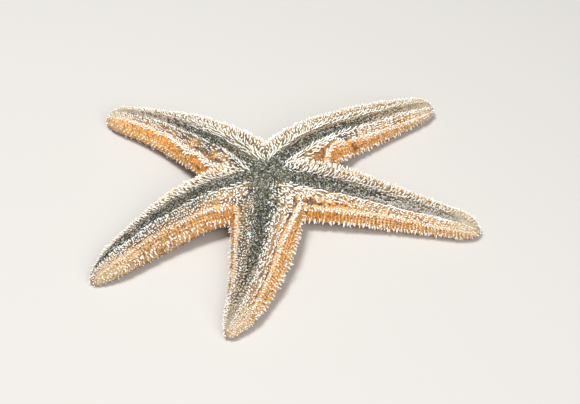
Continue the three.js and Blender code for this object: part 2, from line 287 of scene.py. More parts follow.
def of_side(pair, side):
    """The first of a pair on an arm's right side (-1), and the second on its left (1)."""
    return pair[(side + 1) // 2]


def lip_and_ridge(k, side, along):
    return lip_at(k, side, along), np.interp(along, RIDGE_REACH, of_side(RIDGE_RING[k], side))


def ring_from_band(k, side, along, band):
    """Share of the half girth of a band, which keeps its number where the lip and the ridge wander."""
    lip, ridge = lip_and_ridge(k, side, along)
    inner = lip + (band - LIP) * (ridge - lip) / (RIDGE - LIP)
    outer = ridge + (band - RIDGE) * (LOWER_EDGE - ridge) / (LOWER_EDGE - RIDGE)
    return np.select([band < LIP, band < RIDGE, band < LOWER_EDGE], [band * lip / LIP, inner, outer], band)


def band_from_ring(k, side, along, ring):
    lip, ridge = lip_and_ridge(k, side, along)
    inner = LIP + (ring - lip) * (RIDGE - LIP) / (ridge - lip)
    outer = RIDGE + (ring - ridge) * (LOWER_EDGE - RIDGE) / (LOWER_EDGE - ridge)
    return np.select([ring < lip, ring < ridge, ring < LOWER_EDGE], [ring * LIP / lip, inner, outer], ring)


SEED_SHIFT = 13.7  # cells between the noise of one seed and the next


def mottle(points, size, seed):
    """Even lumps from -1 to 1, about `size` millimetres across."""
    cells = points / size + SEED_SHIFT * seed
    base = np.floor(cells).astype(np.int64)
    part = cells - base
    part = part * part * (3 - 2 * part)
    total = np.zeros(len(points))
    for corner in np.ndindex(2, 2, 2):
        key = (base + corner) * (374761393, 668265263, 1442695041)
        mixed = (key.sum(1) + seed * 974634777) & 0xFFFFFFFF
        mixed = ((mixed ^ (mixed >> 13)) * 1274126177) & 0xFFFFFFFF
        value = ((mixed ^ (mixed >> 16)) & 0xFFFF) / 32767.5 - 1
        weight = np.prod(np.where(corner, part, 1 - part), 1)
        total += value * weight
    return total


def placed(name, data):
    made = bpy.data.objects.new(name, data)
    bpy.context.scene.collection.objects.link(made)
    return made


def mesh_object(name, points, faces):
    """An object from points in millimetres and faces that all have as many corners."""
    mesh = bpy.data.meshes.new(name)
    faces = np.asarray(faces, np.int32)
    mesh.vertices.add(len(points))
    mesh.vertices.foreach_set("co", (np.asarray(points, np.float32) * 0.001).ravel())
    if len(faces):
        mesh.loops.add(faces.size)
        mesh.loops.foreach_set("vertex_index", faces.ravel())
        mesh.polygons.add(len(faces))
        mesh.polygons.foreach_set("loop_start", np.arange(len(faces), dtype=np.int32) * faces.shape[1])
    mesh.update(calc_edges=True)
    return placed(name, mesh)


def numbers_of(items, what, width=1, kind=np.float32):
    """One property of all of a mesh's parts, as an array."""
    values = np.empty(len(items) * width, kind)
    items.foreach_get(what, values)
    return values if width == 1 else values.reshape(-1, width)


def points_of(mesh):
    return numbers_of(mesh.vertices, "co", 3).astype(float) * 1000


def move_points(mesh, points):
    mesh.vertices.foreach_set("co", (points * 0.001).astype(np.float32).ravel())
    mesh.update()


def baked(made):
    """Replaces an object's mesh by what its modifiers make of it, and drops them."""
    mesh = bpy.data.meshes.new_from_object(made.evaluated_get(bpy.context.evaluated_depsgraph_get()))
    old = made.data
    made.modifiers.clear()
    made.data = mesh
    mesh.name = made.name
    bpy.data.meshes.remove(old)
    return made


def smoothed(mesh, rounds, strength=0.5):
    """A mesh's points, each averaged with its neighbours along the edges."""
    points = points_of(mesh)
    a, b = numbers_of(mesh.edges, "vertices", 2, np.int32).T
    count = np.bincount(a, minlength=len(points)) + np.bincount(b, minlength=len(points))
    for _ in range(rounds):
        total = np.zeros_like(points)
        for i in range(3):
            total[:, i] = np.bincount(a, points[b, i], len(points))
            total[:, i] += np.bincount(b, points[a, i], len(points))
        points = points + strength * (total / np.maximum(count, 1)[:, None] - points)
    return points


def remeshed(made, size):
    remesh = made.modifiers.new("Even", "REMESH")
    remesh.mode = "VOXEL"
    remesh.voxel_size = size
    return baked(made)


RING_POINTS = 120
tube_points, tube_faces = [], []
for arm in ARMS:
    closing = 0.9 + 0.095 * np.sin(np.linspace(0.04, 1, 26) * math.pi / 2)
    shares = np.concatenate([np.linspace(-0.12, 0.9, 110), closing])
    rings = np.linspace(-1, 1, RING_POINTS, endpoint=False)
    grid_s, grid_f = np.meshgrid(shares, rings, indexing="ij")
    start = sum(len(p) for p in tube_points)
    tube_points.append(around(arm, grid_s.ravel(), grid_f.ravel()))
    row = np.arange(RING_POINTS)
    for r in range(len(shares) - 1):
        a = start + r * RING_POINTS + row
        b = start + r * RING_POINTS + np.roll(row, -1)
        tube_faces.append(np.stack([a, a + RING_POINTS, b + RING_POINTS, b], -1))
    last = start + len(shares) * RING_POINTS
    tube = tube_points[-1]
    tube_points.append(np.array([tube[:RING_POINTS].mean(0), tube[-RING_POINTS:].mean(0)]))
    first_row, last_row, centre = start + row, last - RING_POINTS + row, np.full(RING_POINTS, last)
    tube_faces.append(np.stack([first_row, np.roll(first_row, -1), centre, centre], -1))
    tube_faces.append(np.stack([np.roll(last_row, -1), last_row, centre + 1, centre + 1], -1))
tube_points = np.vstack(tube_points)
tube_faces = np.vstack(tube_faces)
four_cornered = tube_faces[:, 2] != tube_faces[:, 3]
triangles = np.vstack([tube_faces[:, [0, 1, 2]], tube_faces[four_cornered][:, [0, 2, 3]]])
skin = mesh_object("skin", tube_points, triangles)
remeshed(skin, ROUGH_VOXEL)


def nearest_arm(points):
    """The arm that each point belongs to, and its place on that arm."""
    found = [arm_places(points, arm) for arm in ARMS]
    owner = np.argmin([place[3] for place in found], 0)
    return owner, *(np.choose(owner, [place[i] for place in found]) for i in range(3)), found


def furrow_half(arm, share):
    return np.maximum((0.26 + 0.05 * rise(share, 0.35, 0.7)) * half_width(arm, share), 0.35)


def furrow_depth(arm, share, across, up):
    deep = FURROW_DEPTH * (1 - 0.72 * np.clip(share, 0, 1)) * fall(share, 0.955, 0.995)
    profile = 1 - rise(np.abs(across) / furrow_half(arm, share), 0.25, 1.15)
    return deep * profile * rise(up, 0.5, 0.7)


def mouth_depth(points):
    return 1.6 * fall(np.hypot(*points[:, :2].T), 2.0, 7.5) * rise(points[:, 2], 7, 10)


def hollows(points, owner, share, u, v):
    """Depth of the furrow at each point, and the direction out of it."""
    deep, out_way = np.zeros(len(points)), np.zeros((len(points), 3))
    for k, arm in enumerate(ARMS):
        own = owner == k
        tall = np.maximum(height(arm, share[own]), 0.5)
        deep[own] = furrow_depth(arm, share[own], u[own], v[own] / tall)
        roll = roll_at(arm, share[own], v[own] / tall)
        turn = heading_at(arm, share[own])
        out_way[own] = np.stack([np.sin(turn) * np.sin(roll), -np.cos(turn) * np.sin(roll), np.cos(roll)], -1)
    return deep, out_way


def carve(points):
    owner, share, u, v, _ = nearest_arm(points)
    deep, out_way = hollows(points, owner, share, u, v)
    carved = points - deep[:, None] * out_way
    carved[:, 2] -= mouth_depth(points)
    return carved


move_points(skin.data, carve(smoothed(skin.data, 4)))
remeshed(skin, VOXEL)
points = smoothed(skin.data, 5)
move_points(skin.data, points)
owner, share, u, v, places = nearest_arm(points)

# Where each point lies on its arm: how far along in millimetres, and its share of the half girth.
along = share * np.array([arm["reach"] for arm in ARMS])[owner]
ring = np.zeros(len(points))
for k, arm in enumerate(ARMS):
    own = owner == k
    ring[own] = ring_of(arm, share[own], u[own], v[own])
girth = np.abs(ring)
band = girth.copy()


def on_side(k, side):
    return (owner == k) & (ring * side > 0)


SIDES = [(k, side) for k in range(5) for side in (-1, 1)]
for k, side in SIDES:
    own = on_side(k, side)
    band[own] = band_from_ring(k, side, along[own], girth[own])
# The sides that face the front, each with its own look.
first_near, pit_side, creased = on_side(0, 1), on_side(1, -1), on_side(2, -1)
forked, strung = on_side(3, 1), on_side(4, 1)

# The plates under the skin: combs beside the furrow, a beaded ridge, ribs down the flank, a beaded
# lower edge, and a net of ridges on the back.
small = 1 - 0.45 * np.clip(share, 0, 1)
tipward = rise(share, 0.82, 0.97)
waver = mottle(points, 5.0, 3)
comb = np.cos(2 * math.pi * (along + 0.3 * waver + 9 * band) / 1.5)
comb_zone = rise(band, 0.085, 0.105) * fall(band, 0.265, 0.285)
relief = 0.12 * comb * comb_zone
relief -= 0.25 * bump_at(band, 0.148, 0.012) + 0.36 * bump_at(band, 0.298, 0.018)
ridge = bump_at(band, 0.337, 0.02)
relief += ridge * (0.16 + 0.1 * np.cos(2 * math.pi * along / 1.3 + 2 * waver))
rib_zone = rise(band, 0.35, 0.38) * fall(band, 0.5, 0.53)
RIB_PITCH = 1.25
rib_phase = 2 * math.pi * along / RIB_PITCH + 1.2 * waver
rib_wave = 0.5 + 0.5 * np.cos(rib_phase)
rib = rib_zone * rib_wave * np.clip(0.65 + 0.7 * mottle(points, 1.9, 9), 0.1, 1)
cross = bump_at(band, 0.43 + 0.02 * waver, 0.011) * rib_zone * rise(mottle(points, 2.6, 10), -0.1, 0.4)
relief += 0.14 * np.maximum(rib, 0.7 * cross) - 0.08 * rib_zone + 0.12 * rib_zone * mottle(points, 2.2, 6)
swollen = bump_at(along, 20, 5.5) * bump_at(girth, 0.4, 0.09) * creased
crease = bump_at(along - 14 * (girth - 0.25), 38.5, 1.1) * bump_at(girth, 0.37, 0.1)
swollen -= 0.8 * crease * creased
swollen += 0.4 * bump_at(along, 24, 9) * bump_at(girth, 0.46, 0.07) * forked
edge = bump_at(band, 0.535, 0.022)
relief += edge * (0.2 + 0.16 * np.cos(2 * math.pi * along / 1.95))

under = girth > 0.53
net = np.zeros(len(points))
apart = np.array([noise.voronoi(Vector(cell))[0][:2] for cell in points[under] * (1 / 2.6)])
gaps = apart[:, 1] - apart[:, 0]
net[under] = fall(gaps, 0.05, 0.3) * rise(girth[under], 0.54, 0.6)
relief += 0.24 * net
lumps = 0.2 * mottle(points, 7.0, 1) + 0.07 * mottle(points, 2.4, 2) + 0.035 * mottle(points, 1.0, 5)
relief = relief * small * (1 - 0.6 * tipward) + 0.9 * swollen
relief += lumps * small * (1 - 0.6 * rise(girth, 0.6, 0.9))

# Black sand lies in the furrows and over the mouth, thick near the disc and thinner outwards.
SAND_REACH = [0, 9, 18, 32, 48, 64, 80]
SAND_HALF = [  # how far it spreads to the right and to the left of the furrow's middle
    ([6.5, 4.4, 3.0, 2.4, 0.5, 0, 0], [6.5, 5.8, 5.2, 4.0, 0.7, 0, 0]),
    ([6.5, 4.6, 3.2, 1.2, 0, 0, 0], [6.5, 5.4, 4.0, 1.4, 0, 0, 0]),
    ([6.5, 4.2, 1.9, 3.7, 1.1, 0, 0], [6.5, 3.2, 1.4, 1.4, 0.4, 0, 0]),
    ([6.5, 1.0, 0.3, 0.4, 0, 0, 0], [6.5, 2.3, 1.8, 3.0, 1.2, -1, -1]),
    ([6.5, 3.2, 2.2, 1.8, 1.0, 0.1, -1], [6.5, 4.6, 4.0, 5.7, 6.1, 4.4, -4]),
]


def sand_over(points, owner, along, u):
    half = np.zeros(len(points))
    for k, widths in enumerate(SAND_HALF):
        own = owner == k
        right, left = (np.interp(along[own], SAND_REACH, side) for side in widths)
        half[own] = left + (right - left) * fall(u[own], -1, 1)
    ragged = 1 + 0.22 * mottle(points, 3.2, 11) + 0.16 * mottle(points, 1.2, 12)
    return fall(np.abs(u) / np.maximum(half * ragged, 0.05), 0.7, 1.1) * rise(half, 0.15, 0.7)


tall = np.maximum(np.choose(owner, [height(arm, share) for arm in ARMS]), 0.5)
sand = sand_over(points, owner, along, u) * rise(v / tall, 0.5, 0.7)
middle_reach = np.hypot(*points[:, :2].T) + 1.2 * mottle(points, 2.2, 14)
sand = np.maximum(sand, fall(middle_reach, 7.0, 9.2) * rise(points[:, 2], 7, 10))

smooth_points = points
points = points + relief[:, None] * numbers_of(skin.data.vertices, "normal", 3).astype(float)
points[:, 2] = np.maximum(points[:, 2], 0.12)
move_points(skin.data, points)


def chart(k, share, ring, shrink):
    """Place on the unwrapped skin: each arm is opened down its back and laid in one of six cells."""
    along_cell = 0.04 + 0.9 * (np.clip(share, -0.05, 1.05) + 0.05 + 0.06 * shrink) / 1.16  # 0.04 to 0.94
    across_cell = 0.5 + 0.47 * ring / 1.08
    return (k % 2 + along_cell) / 2, (k // 2 + across_cell) / 3


def tip_shrink(arm, share, u, v):
    wide = half_width(arm, np.minimum(share, 0.9))
    tall = height(arm, np.minimum(share, 0.9))
    near = np.hypot(u / wide, (v / tall - FLANK_CENTRE) / (1 - FLANK_CENTRE))
    return (1 - np.clip(near, 0, 1)) * rise(share, 0.85, 0.97)


def unwrap_with(mesh, places_of_corners):
    places_of_corners = np.asarray(places_of_corners, np.float32)
    mesh.uv_layers.new(name="OFBake").data.foreach_set("uv", places_of_corners.ravel())


faces = numbers_of(skin.data.loops, "vertex_index", kind=np.int32)
starts = numbers_of(skin.data.polygons, "loop_start", kind=np.int32)
totals = numbers_of(skin.data.polygons, "loop_total", kind=np.int32)
face_owner = np.repeat(owner[faces[starts]], totals)
unwrap = np.zeros((len(faces), 2))
for k, arm in enumerate(ARMS):
    own_loops = face_owner == k
    arm_share, arm_u, arm_v, _ = places[k]
    all_rings = ring_of(arm, arm_share, arm_u, arm_v)
    at = faces[own_loops]
    past = all_rings[at] - np.repeat(all_rings[faces[starts]], totals)[own_loops]
    turn_ring = all_rings[at] - 2.0 * (past > 1) + 2.0 * (past < -1)
    shrink = tip_shrink(arm, arm_share[at], arm_u[at], arm_v[at])
    unwrap[own_loops] = np.stack(chart(k, arm_share[at], turn_ring, shrink), -1)
unwrap_with(skin.data, unwrap)


def note(mesh, name, values):
    """Keeps one number for each point of a mesh, for its paint to read."""
    made = mesh.attributes.new(name, "FLOAT", "POINT")
    made.data.foreach_set("value", np.asarray(values, np.float32))


# Tones of each arm's right and left side: how dull the tan is, and how much silt lies between the spines, its
# dark colour also painted shade in the gaps.
DULL = [(0.95, 0.5), (0.1, 0.7), (0.25, 0.75), (0.75, 0.2), (0.7, 0.25)]
SILT_AND_SHADE = [(0.85, 0.35), (0.1, 0.4), (0.4, 0.4), (0.6, 0.8), (0.6, 0.55)]
dull, silt = np.zeros(len(points)), np.zeros(len(points))
for k in range(5):
    own = owner == k
    left = rise(ring[own], -0.03, 0.03)
    dull[own] = DULL[k][0] + (DULL[k][1] - DULL[k][0]) * left
    silt[own] = SILT_AND_SHADE[k][0] + (SILT_AND_SHADE[k][1] - SILT_AND_SHADE[k][0]) * left
dull *= 1 - 0.8 * rise(band, 0.24, 0.3)
silt *= 1 - 0.75 * rise(band, 0.29, 0.36)
silt *= np.clip(0.85 + 0.9 * mottle(points, 3.4, 45) + 0.5 * mottle(points, 1.1, 46), 0.1, 1.3)
silt *= 1 - 0.6 * rise(share, 0.7, 0.9)
silt *= 1 - 0.5 * rise(along, 38, 54) * ((owner == 2) | (owner == 3))
silt += 0.45 * bump_at(along, 40, 7) * creased * fall(band, 0.26, 0.32)
silt[strung] *= 0.6 + 0.9 * rise(along[strung], 20, 32)
note(skin.data, "band", band)
tinted = (0.7 * pit_side + 0.45 * (owner == 3)) * rise(band, 0.34, 0.37)
note(skin.data, "blanched", 0.62 * rise(share, 0.78, 0.95) * (1 - tinted))
note(skin.data, "phase", rib_phase)
pale_ridge = np.where(forked, 0.95, 0.6) * ridge
plate = np.maximum.reduce([0.25 * rib, 0.3 * cross, pale_ridge, 0.5 * edge, 0.8 * net])
note(skin.data, "plate", np.clip(plate, 0, 1))
note(skin.data, "sand", sand)
note(skin.data, "dull", dull)
note(skin.data, "silt", silt)
# Painted shade: dark brown in patches down the groove under the ridge, fading away from the disc.
groove = bump_at(band, 0.295, 0.03) * (1 - 0.75 * rise(along, 14, 40))
groove *= rise(mottle(points, 3.0, 41) + mottle(points, 1.3, 42), -0.1, 0.5)
crotch = bump_at(along, 15.5, 5) * bump_at(girth, 0.36, 0.08) * rise(mottle(points, 2.2, 43), 0.0, 0.4)
MARKS = [  # dark brown marks: arm, how far along, place round the arm, and its reach both ways
    (0, 10, 0.44, 1.6, 0.03),
    (0, 13, -0.31, 1.8, 0.03),
    (1, 17, -0.265, 2.6, 0.02),
    (1, 26, -0.25, 1.8, 0.018),
    (2, 22, -0.225, 3.4, 0.02),
    # the next three follow the crease of arm 2 and are painted shadow in it
    (2, 38.6, -0.25, 1.3, 0.06),
    (2, 40, -0.35, 1.2, 0.06),
    (2, 41.2, -0.44, 1.3, 0.06),
    (3, 24, 0.45, 2.2, 0.03),
    (4, 17.5, 0.355, 1.5, 0.022),
    (4, 20, 0.305, 1.5, 0.018),
    (4, 24, 0.3, 1.1, 0.014),
]
marks = np.zeros(len(points))
for k, far, round_at, reach, width in MARKS:
    mark = bump_at(along, far, reach) * bump_at(ring, round_at, width) * (owner == k)
    marks = np.maximum(marks, mark * rise(0.6 + mottle(points, 1.6, 47), 0.1, 0.8))
NEAR = {(0, 1), (1, -1), (2, -1), (3, 1), (4, 1)}  # the sides on which the belt under the ridge is bare
belt = np.zeros(len(points))
for k, side in NEAR:
    belt[on_side(k, side)] = 1
belt *= np.choose(owner, [0.45, 1, 1, 1, 0.4])
belt *= rise(band, 0.215, 0.245) * fall(band, 0.3, 0.318)
belt *= (1 - 0.8 * rise(along, 27, 38)) * rise(along, 7, 11)
# Painted shade: near-black lines in the gap between the two rows of spines by the furrow and in the gaps
# between the strings of spines.
seam = bump_at(band, 0.113, 0.012) * rise(along, 12, 18) * fall(along, 50, 58)
seam *= pit_side + 0.9 * strung * fall(along, 34, 42)
string_gaps = np.maximum.reduce([bump_at(band, gap_at, 0.009) for gap_at in (0.172, 0.214, 0.257)])
seam = np.maximum(seam, 0.65 * string_gaps * strung * rise(along, 24, 34) * fall(along, 56, 66))
pitted = np.zeros(len(points))
ribbed_here = np.full(len(points), 0.5)
PITTED = {  # how deep the pits are between the plates of a flank, from where, and how plain its ribs are
    (0, 1): (0.7, 10, 0.45),
    (1, -1): (1.2, 30, 0.8),
    (2, -1): (0.4, 30, 0.55),
    (3, 1): (0.4, 20, 0.15),
    (4, 1): (0.9, 25, 0.9),
}
for (k, side), (much, start, plain) in PITTED.items():
    own = on_side(k, side)
    pitted[own] = much * rise(along[own], start - 4, start + 6)
    ribbed_here[own] = plain
bulge = rise(along, 16, 21) * fall(along, 33, 36) * creased
# Dark brown: stains by the crotches and at most marks, and painted shade down the groove under the ridge and
# along the crease of arm 2.
note(skin.data, "stain", np.clip(0.9 * groove * (1 - bulge) + 0.8 * crotch + marks, 0, 1))
note(skin.data, "belt", belt)
note(skin.data, "pitted", pitted * np.clip(0.75 + 0.8 * mottle(points, 2.0, 48), 0, 1))
note(skin.data, "ribbed", ribbed_here)
paled = 0.4 * rise(along, 28, 46) * strung + 0.25 * rise(along, 40, 55) * (owner != 4) * (1 - pit_side)
paled *= rise(band, 0.34, 0.37)
comb_band = rise(band, 0.125, 0.15) * fall(band, 0.3, 0.33)
paled += 0.5 * rise(along, 22, 38) * pit_side * comb_band
paled += 0.55 * rise(along, 42, 50) * creased * comb_band
paled += 0.5 * fall(along, 20, 32) * (pit_side | strung | first_near) * comb_band
note(skin.data, "paled", paled * np.clip(0.8 + 0.7 * mottle(points, 2.6, 49), 0, 1))
# Painted shade: a deeper orange on the flanks near the disc, and on the middle of one near flank, where they
# lie in shade.
inward = fall(along, 16, 36) * np.choose(owner, [1, 0.5, 1, 1, 1])
inward += 0.45 * strung * rise(along, 16, 36) * fall(along, 46, 62)
note(skin.data, "inward", inward * rise(band, 0.34, 0.38) * fall(band, 0.5, 0.56))
note(skin.data, "seam", seam)
note(skin.data, "bulge", bulge * rise(girth, 0.15, 0.18) * fall(band, 0.3, 0.33))


def paint(code):
    """Linear colour from an sRGB hex code."""
    parts = [int(code[i : i + 2], 16) / 255 for i in (0, 2, 4)]
    return tuple(c / 12.92 if c <= 0.04045 else ((c + 0.055) / 1.055) ** 2.4 for c in parts) + (1,)


def wire(tree, kind, inputs=(), out=0, **settings):
    """Adds a node, gives each of its inputs a value or another node's output, and returns an output."""
    made = tree.nodes.new(kind)
    for key, value in settings.items():
        setattr(made, key, value)
    for key, value in dict(inputs).items():
        if isinstance(value, bpy.types.NodeSocket):
            tree.links.new(value, made.inputs[key])
        else:
            made.inputs[key].default_value = value
    return made.outputs[out]


def finish_named(name, **fixed):
    """A new finish with its shader, whose constant settings are put straight on the shader."""
    made = bpy.data.materials.new(name)
    made.use_nodes = True
    shader = made.node_tree.nodes["Principled BSDF"]
    for key, value in fixed.items():
        shader.inputs[key.replace("_", " ")].default_value = value
    return made, made.node_tree, shader


def reading(tree, name):
    return wire(tree, "ShaderNodeAttribute", out="Fac", attribute_name=name)


def blend(tree, share, first, second):
    """One colour over another; a colour is a hex code or a node's output."""
    first, second = (paint(c) if isinstance(c, str) else c for c in (first, second))
    return wire(tree, "ShaderNodeMix", {0: share, 6: first, 7: second}, 2, data_type="RGBA")


def layered(tree, colour, *layers):
    """Lays colours over one another, each by its share."""
    for share, over in layers:
        colour = blend(tree, share, colour, over)
    return colour


def ramp(tree, share, stops, interpolation="LINEAR"):
    made = wire(tree, "ShaderNodeValToRGB", {0: share})
    stripe = made.node.color_ramp
    stripe.interpolation = interpolation
    for element, (place, code) in zip(stripe.elements, (stops[0], stops[-1])):
        element.position, element.color = place, paint(code)
    for place, code in stops[1:-1]:
        stripe.elements.new(place).color = paint(code)
    return made


def ground(tree, scale, detail=3.0, roughness=0.6):
    """Noise in the object's own space; scale is lumps to the metre."""
    spot = wire(tree, "ShaderNodeTexCoord", out="Object")
    look = {"Vector": spot, "Scale": scale, "Detail": detail, "Roughness": roughness}
    return wire(tree, "ShaderNodeTexNoise", look, "Fac")


def between(tree, value, low, high, to_low=0.0, to_high=1.0):
    limits = {"Value": value, "From Min": low, "From Max": high, "To Min": to_low, "To Max": to_high}
    return wire(tree, "ShaderNodeMapRange", limits)


def sum_of(tree, first, second, operation="ADD"):
    return wire(tree, "ShaderNodeMath", {0: first, 1: second}, operation=operation)


def times(tree, first, *others):
    for other in others:
        first = sum_of(tree, first, other, "MULTIPLY")
    return first


def waves(tree, value):
    return wire(tree, "ShaderNodeMath", {0: value}, operation="COSINE")


def surfaced(tree, shader, colour, strength=0, distance=0, height=None, **flip):
    """Gives a shader its colour and, where there is a height, its small relief."""
    tree.links.new(colour, shader.inputs["Base Color"])
    if height:
        relief = {"Strength": strength, "Distance": distance, "Height": height}
        tree.links.new(wire(tree, "ShaderNodeBump", relief, **flip), shader.inputs["Normal"])


# Colour by band round the arm. The dark browns from 0.085 to 0.2, under the combs, are partly the skin's own
# colour and partly painted shade between the spines.
SKIN_BANDS = [
    (0.0, "8a7d6c"),
    (0.085, "665f4e"),
    (0.115, "776341"),
    (0.15, "785832"),
    (0.2, "876338"),
    (0.26, "a67434"),
    (0.298, "a86420"),
    (0.325, "cc9650"),
    (0.35, "de9c3e"),
    (0.375, "ed9a10"),
    (0.45, "e6900c"),
    (0.52, "e8a338"),
    (0.6, "d48a2e"),
    (1.0, "c27426"),
]
skin_finish, tree, shader = finish_named(
    "skin", Subsurface_Weight=0.06, Subsurface_Scale=0.0005, Subsurface_Radius=(1, 0.45, 0.2)
)
ROW_TURN = 161.0  # a whole turn from one row of plates to the next, 0.039 of a band apart
patchy, fine, specks = ground(tree, 260), ground(tree, 1500, 4), ground(tree, 900, 1, 0.4)
place, ridged = reading(tree, "band"), reading(tree, "ribbed")
flank = times(tree, between(tree, place, 0.35, 0.375), between(tree, place, 0.54, 0.5))
sway = between(tree, patchy, 0.3, 0.7, -1.2, 1.2)
ribs = waves(tree, sum_of(tree, reading(tree, "phase"), sway))
rows = waves(tree, sum_of(tree, times(tree, place, ROW_TURN), times(tree, sway, 0.8)))
plain_ribs = times(tree, flank, ridged)
ribbed = times(tree, between(tree, ribs, -0.2, 0.9), plain_ribs)
pitted_flank = times(tree, flank, reading(tree, "pitted"))
pits = times(tree, between(tree, rows, -0.1, 0.65), between(tree, ribs, 0.1, -0.55), pitted_flank)
colour = ramp(tree, sum_of(tree, place, between(tree, patchy, 0.3, 0.7, -0.014, 0.014)), SKIN_BANDS)
colour = layered(
    tree,
    colour,
    (between(tree, reading(tree, "plate"), 0.25, 0.9, 0, 0.7), "f9e6c2"),
    (times(tree, ribbed, 0.6), "fde4b6"),
    (times(tree, between(tree, ribs, -0.2, -0.9), plain_ribs, 0.45), "bc7208"),
    # painted shade: deeper orange on the flanks near the disc
    (times(tree, reading(tree, "inward"), 0.6), "de8a12"),
    (reading(tree, "paled"), "d6b07a"),
    (pits, "6f3a0a"),
    (times(tree, between(tree, rows, -0.2, -0.8), pitted_flank, 0.6), "f6dcab"),
    (reading(tree, "belt"), blend(tree, between(tree, specks, 0.5, 0.62), "e2a050", "85501f")),
    (between(tree, fine, 0.55, 0.8, 0, 0.5), "86501a"),
    (between(tree, specks, 0.57, 0.68, 0, 0.65), "7c4716"),
    (between(tree, specks, 0.42, 0.3, 0, 0.5), "f0c890"),
    (reading(tree, "bulge"), blend(tree, between(tree, specks, 0.45, 0.6), "dc8f3a", "8a5222")),
)
colour = layered(
    tree,
    colour,
    (reading(tree, "dull"), blend(tree, 0.62, colour, "857a58")),
    # painted shade: near-black lines in the gaps between rows of spines
    (reading(tree, "seam"), "2a241c"),
    # dark brown stains, and painted shade in the groove under the ridge and the crease of arm 2
    (between(tree, reading(tree, "stain"), 0.1, 0.8, 0, 0.75), "42271a"),
    (reading(tree, "blanched"), "cbb795"),
    # silt between the spines, its dark colour also painted shade in the gaps
    (between(tree, reading(tree, "silt"), 0.05, 0.9, 0, 0.85), "453d2e"),
    (between(tree, reading(tree, "sand"), 0.1, 0.6, 0, 0.9), "4e4e47"),
)
grit = sum_of(tree, sum_of(tree, fine, times(tree, specks, 1.5)), times(tree, ribbed, 0.8))
surfaced(tree, shader, colour, 0.8, 0.0004, grit)
tree.links.new(between(tree, fine, 0.3, 0.8, 0.42, 0.7), shader.inputs["Roughness"])
skin.data.materials.append(skin_finish)
skin.data.shade_smooth()

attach(skin, "root")
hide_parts(*[n for n in frame["nodes"] if n != "madreporite"])
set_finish(skin, "skin")

# ---- Spines beside the furrow ----
# Two close rows of slender blunt chalky spines guard each side of every furrow. Each spine stands on
# a plate of the furrow's lip; the inner row leans over the furrow and the outer row leans away.

skin_tree = BVHTree.FromObject(skin, bpy.context.evaluated_depsgraph_get())
PATCH = 0.003


def turned_form(name, length, profile, sides=6):
    """A closed spike of round section; profile is (share of length, radius in millimetres)."""
    angles = np.arange(sides) * 2 * math.pi / sides
    points = [(r * math.cos(t), r * math.sin(t), share * length) for share, r in profile[:-1] for t in angles]
    top, last = len(points), len(points) - sides
    points.append((0, 0, profile[-1][0] * length))
    faces = [(i, i + 1 - sides * (i % sides == sides - 1)) for i in range(top)]
    faces = [(i, j, j + sides, i + sides) if i < last else (i, j, top) for i, j in faces]
    faces.append(tuple(range(sides))[::-1])
    mesh = bpy.data.meshes.new(name)
    mesh.from_pydata([tuple(c * 0.001 for c in p) for p in points], [], faces)
    mesh.shade_smooth()
    note(mesh, "rise", [min(max(p[2] / length, 0), 1) for p in points])
    patch = []
    for x, y, z in (points[n] for face in faces for n in face):
        out = (0.08 + 0.4 * (1 - z / length / 1.05)) / (math.hypot(x, y) or 1)
        patch += [0.5 + out * x, 0.5 + out * y]
    mesh.attributes.new("patch", "FLOAT2", "CORNER").data.foreach_set("vector", patch)
    return placed(name, mesh)


def group_with(name, sockets):
    """An empty node group that takes and gives geometry, with the named inputs added."""
    tree = bpy.data.node_groups.new(name, "GeometryNodeTree")
    tree.interface.new_socket("Geometry", in_out="INPUT", socket_type="NodeSocketGeometry")
    for label, kind in sockets.items():
        tree.interface.new_socket(label, in_out="INPUT", socket_type="NodeSocket" + kind)
    tree.interface.new_socket("Geometry", in_out="OUTPUT", socket_type="NodeSocketGeometry")
    return tree, tree.nodes.new("NodeGroupInput").outputs


def random_of(tree, given, step, low=0.0, high=1.0):
    """A number drawn for each spot; each use has its own step from the group's seed."""
    seed = sum_of(tree, given["Seed"], step)
    return wire(tree, "FunctionNodeRandomValue", {2: low, 3: high, "Seed": seed}, 1, data_type="FLOAT")


def random_way(tree, given, step):
    seed = sum_of(tree, given["Seed"], step) if step else given["Seed"]
    limits = {0: (-1.0,) * 3, 1: (1.0,) * 3, "Seed": seed}
    return wire(tree, "FunctionNodeRandomValue", limits, data_type="FLOAT_VECTOR")


def spot_value(tree, name, kind="FLOAT"):
    return wire(tree, "GeometryNodeInputNamedAttribute", {"Name": name}, data_type=kind)


def vector_sum(tree, first, second, operation="ADD"):
    return wire(tree, "ShaderNodeVectorMath", {0: first, 1: second}, operation=operation)


def scaled(tree, vector, much):
    return wire(tree, "ShaderNodeVectorMath", {0: vector, 3: much}, operation="SCALE")


def stored(tree, geometry, name, value, kind, domain):
    inputs = {"Geometry": geometry, "Name": name, "Value": value}
    return wire(tree, "GeometryNodeStoreNamedAttribute", inputs, data_type=kind, domain=domain)


def without(tree, geometry, names):
    for name in names:
        geometry = wire(tree, "GeometryNodeRemoveAttribute", {"Geometry": geometry, "Name": name})
    return geometry


